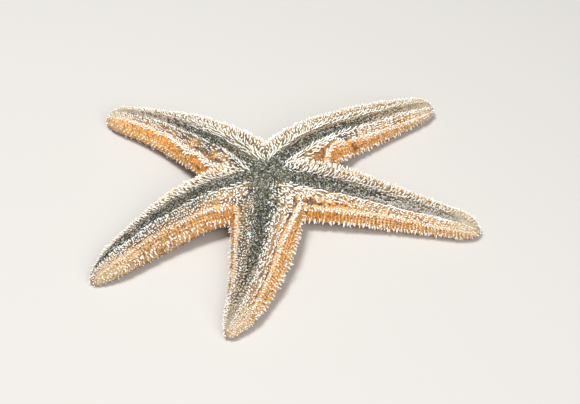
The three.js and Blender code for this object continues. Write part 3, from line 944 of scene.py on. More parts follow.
def stand_on_points(tree, given, points, lean, size, kept=()):
    """Stands the Form on each point along `lean`, then makes it real mesh with its patch and finish."""
    along = vector_sum(tree, lean, scaled(tree, random_way(tree, given, 0), given["Wobble"]))
    aim = wire(tree, "FunctionNodeAlignRotationToVector", {"Vector": along}, axis="Z")
    spin = {"Axis": (0, 0, 1), "Angle": random_of(tree, given, 1, 0.0, 6.283)}
    spin = wire(tree, "FunctionNodeAxisAngleToRotation", spin)
    aim = wire(tree, "FunctionNodeRotateRotation", {0: aim, 1: spin}, rotation_space="LOCAL")
    least = sum_of(tree, 1.0, given["Spread"], "SUBTRACT")
    most = sum_of(tree, 1.0, given["Spread"])
    wide = times(tree, random_of(tree, given, 2, least, most), size)
    long = times(tree, wide, random_of(tree, given, 3, least, most))
    shift = scaled(tree, random_way(tree, given, 5), given["Stray"])
    points = wire(tree, "GeometryNodeSetPosition", {"Geometry": points, "Offset": shift})
    stood = {
        "Points": points,
        "Selection": sum_of(tree, random_of(tree, given, 6), given["Missing"], "GREATER_THAN"),
        "Instance": wire(tree, "GeometryNodeObjectInfo", {"Object": given["Form"]}, "Geometry"),
        "Rotation": aim,
        "Scale": wire(tree, "ShaderNodeCombineXYZ", {0: wide, 1: wide, 2: long}),
    }
    stood = wire(tree, "GeometryNodeInstanceOnPoints", stood)
    stood = stored(tree, stood, "tone", random_of(tree, given, 4), "FLOAT", "INSTANCE")
    real = wire(tree, "GeometryNodeRealizeInstances", {"Geometry": stood})
    part = vector_sum(tree, spot_value(tree, "patch", "FLOAT_VECTOR"), (0.5, 0.5, 0), "SUBTRACT")
    place = vector_sum(tree, spot_value(tree, "root", "FLOAT_VECTOR"), scaled(tree, part, given["Patch"]))
    real = stored(tree, real, "OFBake", place, "FLOAT2", "CORNER")
    real = without(tree, real, ("root", "patch", "lean", "size", *kept))
    real = wire(tree, "GeometryNodeSetMaterial", {"Geometry": real, "Material": given["Finish"]})
    tree.links.new(real, tree.nodes.new("NodeGroupOutput").inputs[0])


COMMON = dict.fromkeys(("Wobble", "Spread", "Missing", "Stray", "Patch"), "Float")
COMMON.update(Form="Object", Seed="Int", Finish="Material")


def standing_group(name, pitched):
    """Stands spines on points or, where pitched, along guide lines at a pitch."""
    tree, given = group_with(name, {"Pitch": "Float", **COMMON})
    spots = given["Geometry"]
    if pitched:
        lines = wire(tree, "GeometryNodeMeshToCurve", {0: spots})
        even = {"Curve": lines, "Length": given["Pitch"]}
        spots = wire(tree, "GeometryNodeResampleCurve", even, mode="LENGTH")
    stand_on_points(tree, given, spots, spot_value(tree, "lean", "FLOAT_VECTOR"), spot_value(tree, "size"))
    return tree


def grown(name, source, tree, form, finish, seed, **values):
    """Runs a node group on an object once its inputs are set, and keeps the plain mesh that it makes."""
    values.update(Form=form, Finish=finish, Seed=seed, Patch=PATCH)
    source.name = name
    made = source.modifiers.new(name, "NODES")
    made.node_group = tree
    for item in tree.interface.items_tree:
        if item.item_type == "SOCKET" and item.in_out == "INPUT" and item.name in values:
            made[item.identifier] = values[item.name]
    baked(source)
    source.data.name = name
    return source


def unit(ways):
    return ways / (np.linalg.norm(ways, axis=1)[:, None] + 1e-9)


def skin_spots(k, share, ring):
    """Places on the skin, and there the directions outwards, round towards the back and tipwards."""
    arm = ARMS[k]
    spots = around(arm, share, ring)
    side = np.sign(ring)
    tip_way = unit(around(arm, share + 0.004, ring) - around(arm, share - 0.004, ring))
    round_way = unit(around(arm, share, ring + side * 0.012) - around(arm, share, ring - side * 0.012))
    out_way = np.cross(round_way, tip_way) * side[:, None]
    centre = stand(arm, share, ring * 0, height(arm, share) * FLANK_CENTRE)
    out_way = unit(out_way * np.sign((out_way * (spots - centre)).sum(1))[:, None])
    found = np.array([skin_tree.find_nearest(Vector(p * 0.001))[0] for p in spots]).reshape(-1, 3) * 1000
    return found, out_way, round_way, tip_way


def chart_spots(k, share, ring):
    arm = ARMS[k]
    _, u, v, _ = arm_places(around(arm, share, ring), arm)
    x, y = chart(k, share, ring, tip_shrink(arm, share, u, v))
    return np.stack([x, y, np.zeros(len(x))], -1)


def guide_lines(lines):
    """Open lines as one mesh of edges, carrying what the spines on them need."""
    made = mesh_object("lines", np.vstack([line["spots"] for line in lines]), [])
    counts = [len(line["spots"]) for line in lines]
    starts = np.concatenate([[0], np.cumsum(counts)[:-1]])
    first = np.concatenate([np.arange(count - 1) + start for count, start in zip(counts, starts)])
    made.data.edges.add(len(first))
    made.data.edges.foreach_set("vertices", np.stack([first, first + 1], -1).astype(np.int32).ravel())
    made.data.update()
    for key in ("lean", "root"):
        values = np.vstack([line[key] for line in lines]).astype(np.float32)
        made.data.attributes.new(key, "FLOAT_VECTOR", "POINT").data.foreach_set("vector", values.ravel())
    for key in [key for key in ("size", "dull", "hue") if key in lines[0]]:
        note(made.data, key, np.concatenate([line[key] for line in lines]))
    return made


def owned_run(k, share, ring):
    """The part of a run of spots that belongs to arm k and not to its neighbour over the disc."""
    keep = nearest_arm(around(ARMS[k], share, ring))[0] == k
    return share[keep], ring[keep]


MARK_LOSS = 0.75


def clear_of_marks(k, share, ring):
    """How much of its size a spine keeps near the dark marks of arm k."""
    kept = np.ones(len(share))
    for marked, far, round_at, reach, width in MARKS:
        if marked == k:
            kept -= MARK_LOSS * bump_at(share * ARMS[k]["reach"], far, reach) * bump_at(ring, round_at, width)
    return np.clip(kept, 1 - MARK_LOSS, 1)


SPINE_DULL = 0.6  # how much of the skin's dullness its spines take
TIP_END = 0.985  # share of an arm's reach where its rows of spines end


def guide_line(k, side, share, ring, lean, sink, size):
    """A run of spots for spines; lean is their share of the ways outwards, round and tipwards."""
    spots, *ways = skin_spots(k, share, ring)
    way = sum(much * one for much, one in zip(lean, ways))
    way /= np.linalg.norm(way, axis=1)[:, None]
    return {
        "spots": spots - sink * way,
        "lean": way,
        "root": chart_spots(k, share, ring),
        "size": size * clear_of_marks(k, share, ring),
        "along": share * ARMS[k]["reach"],
        "dull": np.full(len(share), SPINE_DULL * of_side(DULL[k], side)),
    }


def spine_row(k, side, band, start, lean, sink, size=1.0, end=80, step=0.5):
    """One guide line along an arm in one band of its side, from `start` to `end` in millimetres."""
    reach = ARMS[k]["reach"]
    share = np.arange(start, min(end, reach * TIP_END), step) / reach
    sway = 0.006 * np.sin(share * 31 + 7 * k + 40 * band + side)
    sway += 0.004 * np.sin(share * 83 + 3 * k + 90 * band)
    ring = ring_from_band(k, side, share * reach, band + sway * min(1, band / 0.2)) * side
    share, ring = owned_run(k, share, ring)
    size = size * (1 - 0.35 * share) * (1 - 0.35 * rise(share, 0.8, 0.97))
    return guide_line(k, side, share, ring, lean, sink, size)


spine_finish, tree, shader = finish_named(
    "spines",
    Roughness=0.55,
    Subsurface_Weight=0.25,
    Subsurface_Scale=0.0006,
    Subsurface_Radius=(1, 0.7, 0.45),
)
up_spine, dull_side, tone = (reading(tree, name) for name in ("rise", "dull", "tone"))
warm = blend(tree, times(tree, tone, 0.7), "e9cfa6", "c9955c")
warm = blend(tree, dull_side, warm, "9b8a66")
chalk = blend(tree, between(tree, tone, 0.4, 1), "fffefb", "fbf2e0")
chalk = blend(tree, times(tree, dull_side, tone), chalk, "d6c9a6")
colour = blend(tree, between(tree, up_spine, 0.02, between(tree, dull_side, 0, 1, 0.2, 0.6)), warm, chalk)
surfaced(tree, shader, colour, 0.3, 0.00008, ground(tree, 5200, 2))

slender = turned_form("slender spine", 2.1, [(0, 0.2), (0.3, 0.24), (0.72, 0.23), (0.93, 0.15), (1, 0)])
along_rows, on_points = standing_group("spine rows", True), standing_group("spines on points", False)
# How far the spines on the right and the left of each furrow lie over towards the arm's tip.
LIE_ALONG = [(1.0, 0.8), (1.6, 0.4), (0.6, 0.6), (0.7, 0.8), (0.5, 1.3)]
BURIED = {(3, 1): (24, 46), (4, 1): (27, 66), (1, -1): (16, 56)}  # where the sand has covered the inner row
INNERMOST = {  # a third row over the furrow itself: from where, to where, and how large
    (0, 1): (14, 36, 0.55),
    (0, -1): (8, 38, 0.6),
    (2, -1): (8, 32, 0.75),
    (3, 1): (4, 26, 0.7),
    (3, -1): (4, 44, 0.8),
    (4, 1): (9, 27, 0.6),
    (4, -1): (5, 34, 0.5),
}
DWARFED = {(0, -1): (0.75, 0.7), (3, 1): (0.85, 0.75)}  # size kept by the inner and the outer row
lines = []
for k, side in SIDES:
    lay = of_side(LIE_ALONG[k], side)
    inner = spine_row(k, side, 0.1, 5, (max(0.3, 0.7 - 0.35 * lay), -0.25 + 0.25 * lay, 0.2 + lay), 0.3)
    outer = spine_row(k, side, 0.128, 5, (max(0.35, 0.75 - 0.2 * lay), 0.3, 0.2 + 0.8 * lay), 0.3)
    if (k, side) in BURIED:
        low, high = BURIED[k, side]
        covered = rise(inner["along"], low - 2, low + 2) * fall(inner["along"], high - 3, high + 3)
        inner["size"] *= 1 - 0.8 * covered
    if k == 0:
        inner["size"] *= 1 - 0.45 * rise(inner["along"], 36, 48)
    for row, kept in zip((inner, outer), DWARFED.get((k, side), (1, 1))):
        row["size"] *= kept
        row["dull"] += 0.45 * ((k, side) == (3, 1))
    lines += [inner, outer]
    if (k, side) in INNERMOST:
        begin, end, size = INNERMOST[k, side]
        for band_at in (0.035, 0.065) if (k, side) == (3, -1) else (0.062,):
            row = spine_row(k, side, band_at, begin, (0.75 - 0.3 * lay, -0.15, 0.2 + lay), 0.3, size, end)
            row["dull"][:] = 0.3 if k == 3 else 0.9
            lines.append(row)
rows_look = {"Pitch": 0.00118, "Wobble": 0.24, "Spread": 0.18, "Missing": 0.06, "Stray": 0.00012}
furrow_spines = grown("furrow_spines", guide_lines(lines), along_rows, slender, spine_finish, 11, **rows_look)
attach(furrow_spines, "root")
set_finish(furrow_spines, "spines")

# ---- Combs of the mouth side ----
# Each plate between the furrow and the ridge carries a slanting comb of stout spines, which lie over
# outwards, one comb behind another. Further out the combs are finer and so close that they read as beads.
stout = turned_form("stout spine", 1.75, [(0, 0.24), (0.35, 0.29), (0.75, 0.27), (0.94, 0.17), (1, 0)])
fine_form = turned_form("fine spine", 1.15, [(0, 0.2), (0.5, 0.25), (0.85, 0.2), (1, 0)], sides=5)
LIE_OUT = [(0.3, 0.5), (1, 1), (1, 1), (1, 1), (1, 1)]  # how far the combs lie over away from the furrow
COMB_LIE = [(1.2, 0.9), (0.5, 0.4), (0.6, 0.6), (0.7, 0.8), (0.5, 0.5)]  # and how far towards the arm's tip


def comb_line(k, side, along_line, band_line, size, steepness):
    """One comb, as a guide line across the plates of an arm's side; nothing where there's no room for it."""
    share = along_line / ARMS[k]["reach"]
    share, ring = owned_run(k, share, ring_from_band(k, side, along_line, band_line) * side)
    if len(share) < 3:
        return []
    far = rise(share, 0.2, 0.55)[:, None]
    outwards = 0.6 + 0.35 * far + steepness
    round_about = (0.7 - 0.25 * far) * of_side(LIE_OUT[k], side)
    tipwards = (0.15 + 0.75 * of_side(COMB_LIE[k], side)) * (1 - 0.3 * far)
    size = size * (1 - 0.25 * share) * (1 - 0.35 * rise(share, 0.8, 0.97))
    return [guide_line(k, side, share, ring, (outwards, round_about, tipwards), 0.25, size)]


STRUNG = {  # sides where strings of single spines take over from combs: start, step, size and bands
    (0, 1): (22, 0.82, 1.2, (0.15, 0.17, 0.192, 0.244, 0.27)),
    (0, -1): (13, 1.3, 1.0, (0.16, 0.212, 0.264)),
    (3, 1): (29, 0.95, 1.0, (0.15, 0.19, 0.236, 0.28)),
    (4, 1): (23, 0.82, 1.2, (0.152, 0.192, 0.236, 0.278)),
}
COMB_STEP = ((1.4, 1.0), (1.05, 1.4), (1.4, 1.4), (1.75, 1.75), (1.4, 1.1))  # millimetres between combs
COMB_SIZE = ((0.7, 0.95), (0.95, 0.85), (0.9, 0.85), (0.85, 0.72), (0.85, 1.0))
FINE_SIZE = {(1, -1): 1.15, (2, -1): 1.0}  # and 0.85 elsewhere
COMB_WIDTH = (0.105, 0.066, 0.064, 0.064, 0.112)  # how far across they reach on the side with the bare belt
COMB_CHANGE = 30  # millimetres along the arm, where the coarse combs give way to the fine ones
across = np.linspace(0, 1, 9)
lines, fine_lines = [], []
for k, side in SIDES:
    near, narrow = (k, side) in NEAR, (k, side) == (2, -1)
    for n, start in enumerate(np.arange(4.5, COMB_CHANGE, of_side(COMB_STEP[k], side))):
        if (k, side) in STRUNG and start > STRUNG[k, side][0]:
            break
        width = 0.04 if narrow and start > 17 else COMB_WIDTH[k] if near and start > 9 else 0.114
        along_line = start - (0.7 + 0.4 * math.sin(1.7 * n + k)) * across
        lines += comb_line(k, side, along_line, 0.16 + width * across, of_side(COMB_SIZE[k], side), 0.0)
    if (k, side) in STRUNG:
        continue
    fine_step, size = 0.82 if (k, side) == (1, -1) else 0.92, FINE_SIZE.get((k, side), 0.85)
    for n, start in enumerate(np.arange(COMB_CHANGE, ARMS[k]["reach"] * 0.97, fine_step)):
        width = 0.04 if narrow and start < 35 else 0.11 + 0.045 * rise(start, 34, 46) * (k not in (0, 4))
        along_line = start + 0.3 * math.sin(2.3 * n + k) - 0.6 * across
        fine_lines += comb_line(k, side, along_line, 0.145 + width * across, size, 0.2)
comb_look = {"Wobble": 0.34, "Spread": 0.22, "Missing": 0.09}
comb_look.update(Pitch=0.0008, Stray=0.0003)
comb_spines = grown("comb_spines", guide_lines(lines), along_rows, stout, spine_finish, 23, **comb_look)
comb_look.update(Pitch=0.00064, Stray=0.0002)
fine_lines = guide_lines(fine_lines)
fine_comb_spines = grown("fine_comb_spines", fine_lines, along_rows, fine_form, spine_finish, 29, **comb_look)
strings = []
for (k, side), (start, step, size, bands) in STRUNG.items():
    for n, band_at in enumerate(bands):
        first = start + 0.5 * step * (n % 2)
        row = spine_row(k, side, band_at, first, (0.95, 0.15, 0.2), 0.25, size, step=step)
        row["size"] *= 1 + 0.15 * rise(row["along"], 34, 48)
        strings.append(row)
comb_look.update(Wobble=0.22, Spread=0.24, Stray=0.00019)
strings = guide_lines(strings)
string_spines = grown("string_spines", strings, on_points, fine_form, spine_finish, 31, **comb_look)
for piece in (comb_spines, fine_comb_spines, string_spines):
    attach(piece, "root")
    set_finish(piece, "spines")

# ---- Ridge and edge spines ----
# A double row of thick white spines crowns the ridge where the mouth side turns down into the flank,
# and a row of long pointed spines stands out all along the arm's lower edge.
thick = turned_form("thick spine", 1.6, [(0, 0.27), (0.35, 0.33), (0.75, 0.31), (0.94, 0.19), (1, 0)])
RIDGE_ROWS = [  # band, start, lean outwards, round and tipwards, depth in the skin, size
    (0.318, 8, (0.9, -0.2, 0.2), 0.2, 0.8),
    (0.334, 8.3, (0.9, 0.15, 0.2), 0.15, 0.95),
    (0.352, 8.6, (0.75, 0.6, 0.2), 0.2, 0.85),
    (0.302, 34, (0.9, -0.1, 0.2), 0.2, 0.75),
]
lines = []
for k, side in SIDES:
    for n, row in enumerate(RIDGE_ROWS):
        line = spine_row(k, side, *row)
        large = 0.75 if (k, side) == (0, -1) else 1.12 if (k, side) == (3, 1) and n < 3 else 1
        if (k, side) == (4, 1) and n < 3:
            large = 1 + 0.2 * fall(line["along"], 22, 32)
        line["size"] = line["size"] * (1 - 0.22 * rise(line["along"], 28, 45)) * large
        lines.append(line)
ridge_look = {"Wobble": 0.35, "Spread": 0.2, "Missing": 0.08, "Pitch": 0.00098, "Stray": 0.00018}
ridge_spines = grown("ridge_spines", guide_lines(lines), along_rows, thick, spine_finish, 37, **ridge_look)
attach(ridge_spines, "root")
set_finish(ridge_spines, "spines")

pointed = turned_form("pointed spine", 1.8, [(0, 0.3), (0.3, 0.33), (0.7, 0.27), (0.92, 0.16), (1, 0)])
EDGE_ROWS = [  # band, start, lean, size
    (0.495, 10, (0.85, 0.55, 0.1), 0.7),
    (0.53, 10.8, (0.8, 0.6, 0.1), 1.0),
    (0.575, 11, (0.85, 0.45, 0.1), 0.8),
]
lines = []
for k, side in SIDES:
    kept = 0.7 if (k, side) == (3, 1) else 1
    for band_at, start, lean, size in EDGE_ROWS:
        lines.append(spine_row(k, side, band_at, start, lean, 0.35, size * kept))
edge_look = {"Wobble": 0.34, "Spread": 0.2, "Missing": 0.08, "Pitch": 0.0017, "Stray": 0.0002}
edge_spines = grown("edge_spines", guide_lines(lines), along_rows, pointed, spine_finish, 41, **edge_look)
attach(edge_spines, "root")
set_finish(edge_spines, "spines")

# ---- Flank and back spines ----
# Short blunt spines stand singly where the ribs of the flank cross, and all over the net of the back,
# on which the animal lies.
FLANK_CROWD = [(0.5, 0.55), (0.5, 0.5), (0.45, 0.5), (0.5, 0.42), (0.5, 0.62)]
short = turned_form("short spine", 1.1, [(0, 0.24), (0.35, 0.28), (0.75, 0.25), (0.94, 0.15), (1, 0)])
PLATE_ROWS = (0.371, 0.41, 0.449, 0.488)
WAVER_SHIFT = 0.239  # millimetres that the ribs shift where their line wavers most


def rib_spots(k, side, band_at, much):
    """Places where the ribs of a flank cross one row of its plates."""
    reach = ARMS[k]["reach"]
    share = np.arange(11.25, reach * 0.97, RIB_PITCH) / reach
    ring = ring_from_band(k, side, share * reach, np.full(len(share), band_at)) * side
    share = share - WAVER_SHIFT * mottle(around(ARMS[k], share, ring), 5.0, 3) / reach
    share, ring = owned_run(k, share, ring)
    every = 1 + 0.22 * np.cos(np.arange(len(share)) * math.pi + 12 * band_at * k)
    grows = (0.7 + 0.5 * rise(share * reach, 18, 45)) * (1 - 0.4 * rise(share, 0.75, 0.97))
    size = much * every * (grows * (1 - 0.3 * share))
    return guide_line(k, side, share, ring, (0.85, 0.5, 0.15), 0.25, size)


lines = []
for k, side in SIDES:
    much = of_side(FLANK_CROWD[k], side)
    for band_at, size in zip(PLATE_ROWS, (1.0, 0.8, 1.0, 1.5 if (k, side) == (4, 1) else 1.2)):
        lines.append(rib_spots(k, side, band_at, 1.1 * size * much))
flank_look = {"Wobble": 0.35, "Spread": 0.3, "Missing": 0.1, "Stray": 0.00032}
flank_spines = grown("flank_spines", guide_lines(lines), on_points, short, spine_finish, 53, **flank_look)
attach(flank_spines, "root")
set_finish(flank_spines, "spines")

SCATTER = dict.fromkeys(("Crowd", "Apart", "Upright", "Size"), "Float")
scattered, given = group_with("scattered", {**SCATTER, **COMMON})
strewn = {
    "Mesh": given["Geometry"],
    "Distance Min": given["Apart"],
    "Density Max": given["Crowd"],
    "Density Factor": spot_value(scattered, "crowd"),
    "Seed": given["Seed"],
}
spots = wire(scattered, "GeometryNodeDistributePointsOnFaces", strewn, distribute_method="POISSON")
upright = scaled(scattered, spots.node.outputs["Normal"], given["Upright"])
root = spot_value(scattered, "OFBake", "FLOAT_VECTOR")
spots = stored(scattered, spots, "root", root, "FLOAT_VECTOR", "POINT")
noted = [kept.name for kept in skin.data.attributes if kept.data_type == "FLOAT" and kept.name != "dull"]
spots = without(scattered, spots, ["OFBake", *noted])
stand_on_points(scattered, given, spots, upright, given["Size"], ["crowd"])


def crowd_on(mesh, crowd):
    """A copy of a mesh to scatter on, thickest where `crowd` is 1."""
    copy = mesh.copy()
    note(copy, "crowd", crowd)
    return placed("crowd", copy)


back_spines = grown(
    "back_spines",
    crowd_on(skin.data, rise(girth, 0.6, 0.64) * (0.25 + 0.75 * net)),
    scattered,
    short,
    spine_finish,
    61,
    Crowd=600000.0,
    Apart=0.0017,
    Upright=1.0,
    Size=0.65,
    Wobble=0.15,
    Spread=0.12,
)
tip_crowd = rise(share, 0.76, 0.86) * np.choose(owner, [1, 0.8, 0.6, 0.35, 1])
tip_crowd *= fall(girth, 0.55, 0.62) * rise(girth, 0.1, 0.16)
tip_spines = grown(
    "tip_spines",
    crowd_on(skin.data, tip_crowd),
    scattered,
    short,
    spine_finish,
    63,
    Crowd=2.0e6,
    Apart=0.0007,
    Upright=1.0,
    Size=0.62,
    Wobble=0.3,
    Spread=0.2,
)
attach(tip_spines, "root")
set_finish(tip_spines, "spines")
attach(back_spines, "root")
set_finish(back_spines, "spines")

# ---- Pincers ----
# Tiny two-jawed pincers sit like pale grains round the feet of the spines, thickest on the ridge and
# the plates of the mouth side.
bead = turned_form("pincer", 0.36, [(0, 0.12), (0.45, 0.15), (1, 0)], sides=5)
crowd = 0.35 * rise(band, 0.12, 0.15) * fall(band, 0.36, 0.4)
crowd += 0.35 * rise(band, 0.36, 0.4) * np.maximum(rib, cross)
crowd = (crowd + 0.3 * rise(girth, 0.55, 0.6) * net) * (1 - 0.8 * sand)
pincers_look = {"Crowd": 1.5e6, "Apart": 0.0006, "Upright": 1.0, "Size": 1.0, "Wobble": 0.5, "Spread": 0.3}
pincers = grown("pincers", crowd_on(skin.data, crowd), scattered, bead, spine_finish, 67, **pincers_look)
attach(pincers, "root")
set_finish(pincers, "spines")

# ---- Gills ----
# Soft little fingers of skin, through which the animal breathes, stand in crowds between the plates of
# the flanks and the back. They are drawn in to small beads.
gill = turned_form("gill", 0.42, [(0, 0.13), (0.6, 0.15), (1, 0)], sides=5)
gill_finish, tree, shader = finish_named(
    "gills", Roughness=0.45, Subsurface_Weight=0.3, Subsurface_Scale=0.0006, Subsurface_Radius=(1, 0.5, 0.25)
)
colour = ramp(tree, reading(tree, "tone"), [(0, "5f3413"), (0.5, "8f5520"), (0.85, "bd7a2e"), (1, "e0b070")])
colour = blend(tree, reading(tree, "dull"), colour, blend(tree, 0.5, colour, "8f8262"))
surfaced(tree, shader, blend(tree, between(tree, ground(tree, 4000, 2), 0.5, 0.75, 0, 0.4), colour, "6e431f"))
crowd = (0.15 * rib_zone + bump_at(band, 0.4, 0.02) + bump_at(band, 0.462, 0.02)) * (1 - 0.8 * rib_wave)
crowd = crowd + 0.3 * rise(girth, 0.56, 0.62) * (1 - net) * (1 - 0.7 * rise(girth, 0.75, 0.9))
crowd = np.clip(crowd * (1 - 0.7 * tipward), 0, 1)
gills_look = {"Crowd": 1.6e6, "Apart": 0.00045, "Upright": 1.0, "Size": 1.0, "Wobble": 0.35, "Spread": 0.3}
gills = grown("gills", crowd_on(skin.data, crowd), scattered, gill, gill_finish, 69, **gills_look)
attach(gills, "root")
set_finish(gills, "skin")

# ---- Tube feet ----
# Four crowded rows of soft tube feet fill each furrow, drawn in and glistening, each ending in a small
# sucker. They are greyish lilac on one arm and pinkish brown on the others.
FEET_HUE = [0.75, 0.12, 0.9, 0.6, 0.4]
foot = turned_form("tube foot", 2.0, [(0, 0.3), (0.5, 0.31), (0.8, 0.24), (0.86, 0.36), (0.95, 0.33), (1, 0)])
foot_finish, tree, shader = finish_named(
    "tube feet",
    Roughness=0.28,
    Subsurface_Weight=0.4,
    Subsurface_Scale=0.0012,
    Subsurface_Radius=(1, 0.6, 0.5),
    Coat_Weight=0.35,
    Coat_Roughness=0.15,
)
tone = reading(tree, "tone")
colour = layered(
    tree,
    blend(tree, tone, "cbc6c0", "b0abae"),
    (reading(tree, "hue"), blend(tree, tone, "c2a988", "a08a70")),
    (between(tree, reading(tree, "rise"), 0.7, 0.95, 0, 0.45), "d8cbb8"),
    (between(tree, ground(tree, 2600), 0.55, 0.8, 0, 0.35), "6d655b"),
)
surfaced(tree, shader, colour)
lines = []
for k, side in SIDES:
    lean = 0.3 + 0.6 * min(0.8, of_side(LIE_ALONG[k], side))
    for band_at, start in ((0.014, 5), (0.043, 5.4), (0.07, 5.2)):
        line = spine_row(k, side, band_at, start, (0.9, -0.2, lean), 0.5)
        line["hue"] = np.full(len(line["along"]), FEET_HUE[k])
        share_line = line["along"] / ARMS[k]["reach"]
        bare = 1 - rise(np.interp(line["along"], SAND_REACH, of_side(SAND_HALF[k], side)), 0.5, 1.8)
        deep_here = FURROW_DEPTH * (1 - 0.72 * share_line) * (1 - 0.3 * (band_at > 0.06))
        line["size"] = (0.5 + deep_here * (0.35 + 0.65 * bare)) / 2.0
        line["size"] *= 1 - 0.5 * rise(share_line, 0.85, 0.97)
        if (k, side) == (3, -1):
            covered_to = INNERMOST[k, side][1]
            line["size"] *= 1 - 0.6 * fall(line["along"], covered_to - 6, covered_to)
        lines.append(line)
feet_look = {"Pitch": 0.00074, "Wobble": 0.4, "Spread": 0.22, "Stray": 0.0001}
tube_feet = grown("tube_feet", guide_lines(lines), along_rows, foot, foot_finish, 71, **feet_look)
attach(tube_feet, "root")
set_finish(tube_feet, "tube_feet")

# ---- Sand crust ----
# Fine black and brown sand has packed over the mouth and into the furrows. It is a thin crust laid on
# the skin, with loose grains on it and a few caught between the spines.
deep, out_way = hollows(smooth_points, owner, share, u, v)
deep = deep + mouth_depth(smooth_points)
lift = -0.3 + (0.42 + 0.72 * deep) * rise(sand, 0.05, 0.7)
lift += (0.1 * mottle(smooth_points, 2.2, 21) + 0.07 * mottle(smooth_points, 0.9, 22)) * sand
crust_top = smooth_points + lift[:, None] * out_way
quads = faces.reshape(-1, 4)
sandy = (sand[quads] > 0.02).any(1)
used = np.unique(quads[sandy])
renumber = np.full(len(points), -1)
renumber[used] = np.arange(len(used))
top_faces = renumber[quads[sandy]]
bottom = crust_top[used] - 0.5 * out_way[used]
sides = np.concatenate([top_faces[:, [i, (i + 1) % 4]] for i in range(4)])
keys = sides[:, 0] * len(used) + sides[:, 1]
rim = sides[~np.isin(keys, sides[:, 1] * len(used) + sides[:, 0])]
walls = np.stack([rim[:, 1], rim[:, 0], rim[:, 0] + len(used), rim[:, 1] + len(used)], -1)
crust_faces = np.vstack([top_faces, top_faces[:, ::-1] + len(used), walls])
sand_crust = mesh_object("sand_crust", np.vstack([crust_top[used], bottom]), crust_faces)
UNDERLAP = (0.0015, 0.0012)  # how far the crust's under face lies from its top on the unwrap
top_loops = unwrap.reshape(-1, 4, 2)[sandy]
first_uv = np.zeros((2 * len(used), 2))
first_uv[top_faces.ravel()] = top_loops.reshape(-1, 2)
first_uv[len(used) :] = first_uv[: len(used)] + UNDERLAP
crust_uv = np.concatenate([top_loops, top_loops[:, ::-1] + UNDERLAP, first_uv[walls]])
unwrap_with(sand_crust.data, crust_uv)
sand_crust.data.shade_smooth()

GRAIN_TONES = [
    (0.0, "0f100d"),
    (0.22, "25261d"),
    (0.42, "47483a"),
    (0.55, "6f6f5c"),
    (0.66, "93927a"),
    (0.745, "5f4e37"),
    (0.785, "a8936c"),
    (0.835, "c9c7b8"),
    (0.905, "efeee4"),
    (0.98, "a2bccb"),
]


def paler_middle(tree, colour, code, low, high, much):
    """Dries the sand in the middle of the disc, patch by patch."""
    place = wire(tree, "ShaderNodeTexCoord", out="Object")
    reach = wire(tree, "ShaderNodeVectorMath", {0: place}, "Value", operation="LENGTH")
    patches = between(tree, ground(tree, 150, 2), low, high, 0, much)
    return blend(tree, times(tree, between(tree, reach, 0.02, 0.012), patches), colour, code)


sand_finish, tree, shader = finish_named("sand", Roughness=0.6)
spot = wire(tree, "ShaderNodeTexCoord", out="Object")
depth = wire(tree, "ShaderNodeTexVoronoi", {"Vector": spot, "Scale": 2900.0}, "Distance")
pick = wire(tree, "ShaderNodeSeparateColor", {0: depth.node.outputs["Color"]})
colour = blend(tree, 0.2, ramp(tree, pick, GRAIN_TONES, "CONSTANT"), "55564b")
surfaced(tree, shader, paler_middle(tree, colour, "97987f", 0.42, 0.62, 0.5), 0.9, 0.0003, depth, invert=True)
sand_crust.data.materials.append(sand_finish)

grain_finish, tree, shader = finish_named("sand grains", Roughness=0.45)
colour = ramp(tree, reading(tree, "tone"), GRAIN_TONES, "CONSTANT")
colour = blend(tree, between(tree, ground(tree, 620, 2), 0.36, 0.64, 0.5, 0.06), colour, "24241d")
surfaced(tree, shader, paler_middle(tree, colour, "b4b59c", 0.45, 0.64, 0.2))

grain = turned_form("grain", 0.36, [(0, 0.1), (0.5, 0.2), (1, 0)], sides=4)
crowd = np.concatenate([rise(sand[used], 0.15, 0.6), np.zeros(len(used))])
grains_look = {"Crowd": 1.2e7, "Apart": 0.0003, "Upright": 1.0, "Size": 1.15, "Wobble": 2.0, "Spread": 0.42}
crowded = crowd_on(sand_crust.data, crowd)
sand_grains = grown("sand_grains", crowded, scattered, grain, grain_finish, 83, **grains_look)
crowd = rise(band, 0.04, 0.07) * fall(band, 0.28, 0.36) * (0.2 + 0.9 * silt)
crowd = np.clip(crowd * (1 - 0.5 * (owner == 0) * rise(along, 34, 46)), 0, 1)
crowd += 0.02 * fall(girth, 0.5, 0.6)
crowded = crowd_on(skin.data, np.clip(crowd, 0, 1) * rise(share, -0.02, 0.05))
grains_look.update(Crowd=1.6e6, Apart=0.0004, Size=0.95, Spread=0.3)
stray_grains = grown("stray_grains", crowded, scattered, grain, grain_finish, 89, **grains_look)
for piece in (sand_crust, sand_grains, stray_grains):
    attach(piece, "root")
    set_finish(piece, "sand")

# ---- Shell chips ----
# A few chips of bluish and white shell, a millimetre or two across, lie on the sand in the furrows. They
# are broken flakes, worn round at the rims.
CHIPS = [  # arm, how far along, place round the arm, size across
    *((0, 9, 0.07, 1.5), (0, 16, 0.05, 1.7), (0, 30, -0.1, 2.1), (0, 31.5, -0.07, 1.0)),
    *((0, 51, 0.24, 1.5), (0, 21, -0.03, 0.8), (1, 22, -0.03, 1.2), (1, 27, -0.035, 1.3)),
    *((1, 29, 0.02, 0.8), (1, 36, -0.03, 1.8), (1, 38, -0.015, 1.0), (2, 7, -0.03, 1.1)),
    *((2, 10, -0.02, 0.9), (3, 6, 0.03, 0.8), (4, 12, -0.02, 0.8), (4, 8, 0.02, 1.0)),
]
CHIP_LEVELS = ((-0.2, 0.9), (0.05, 1.0), (0.22, 0.88), (0.3, 0.45))  # height, and share of the width there
CORNERS = 11


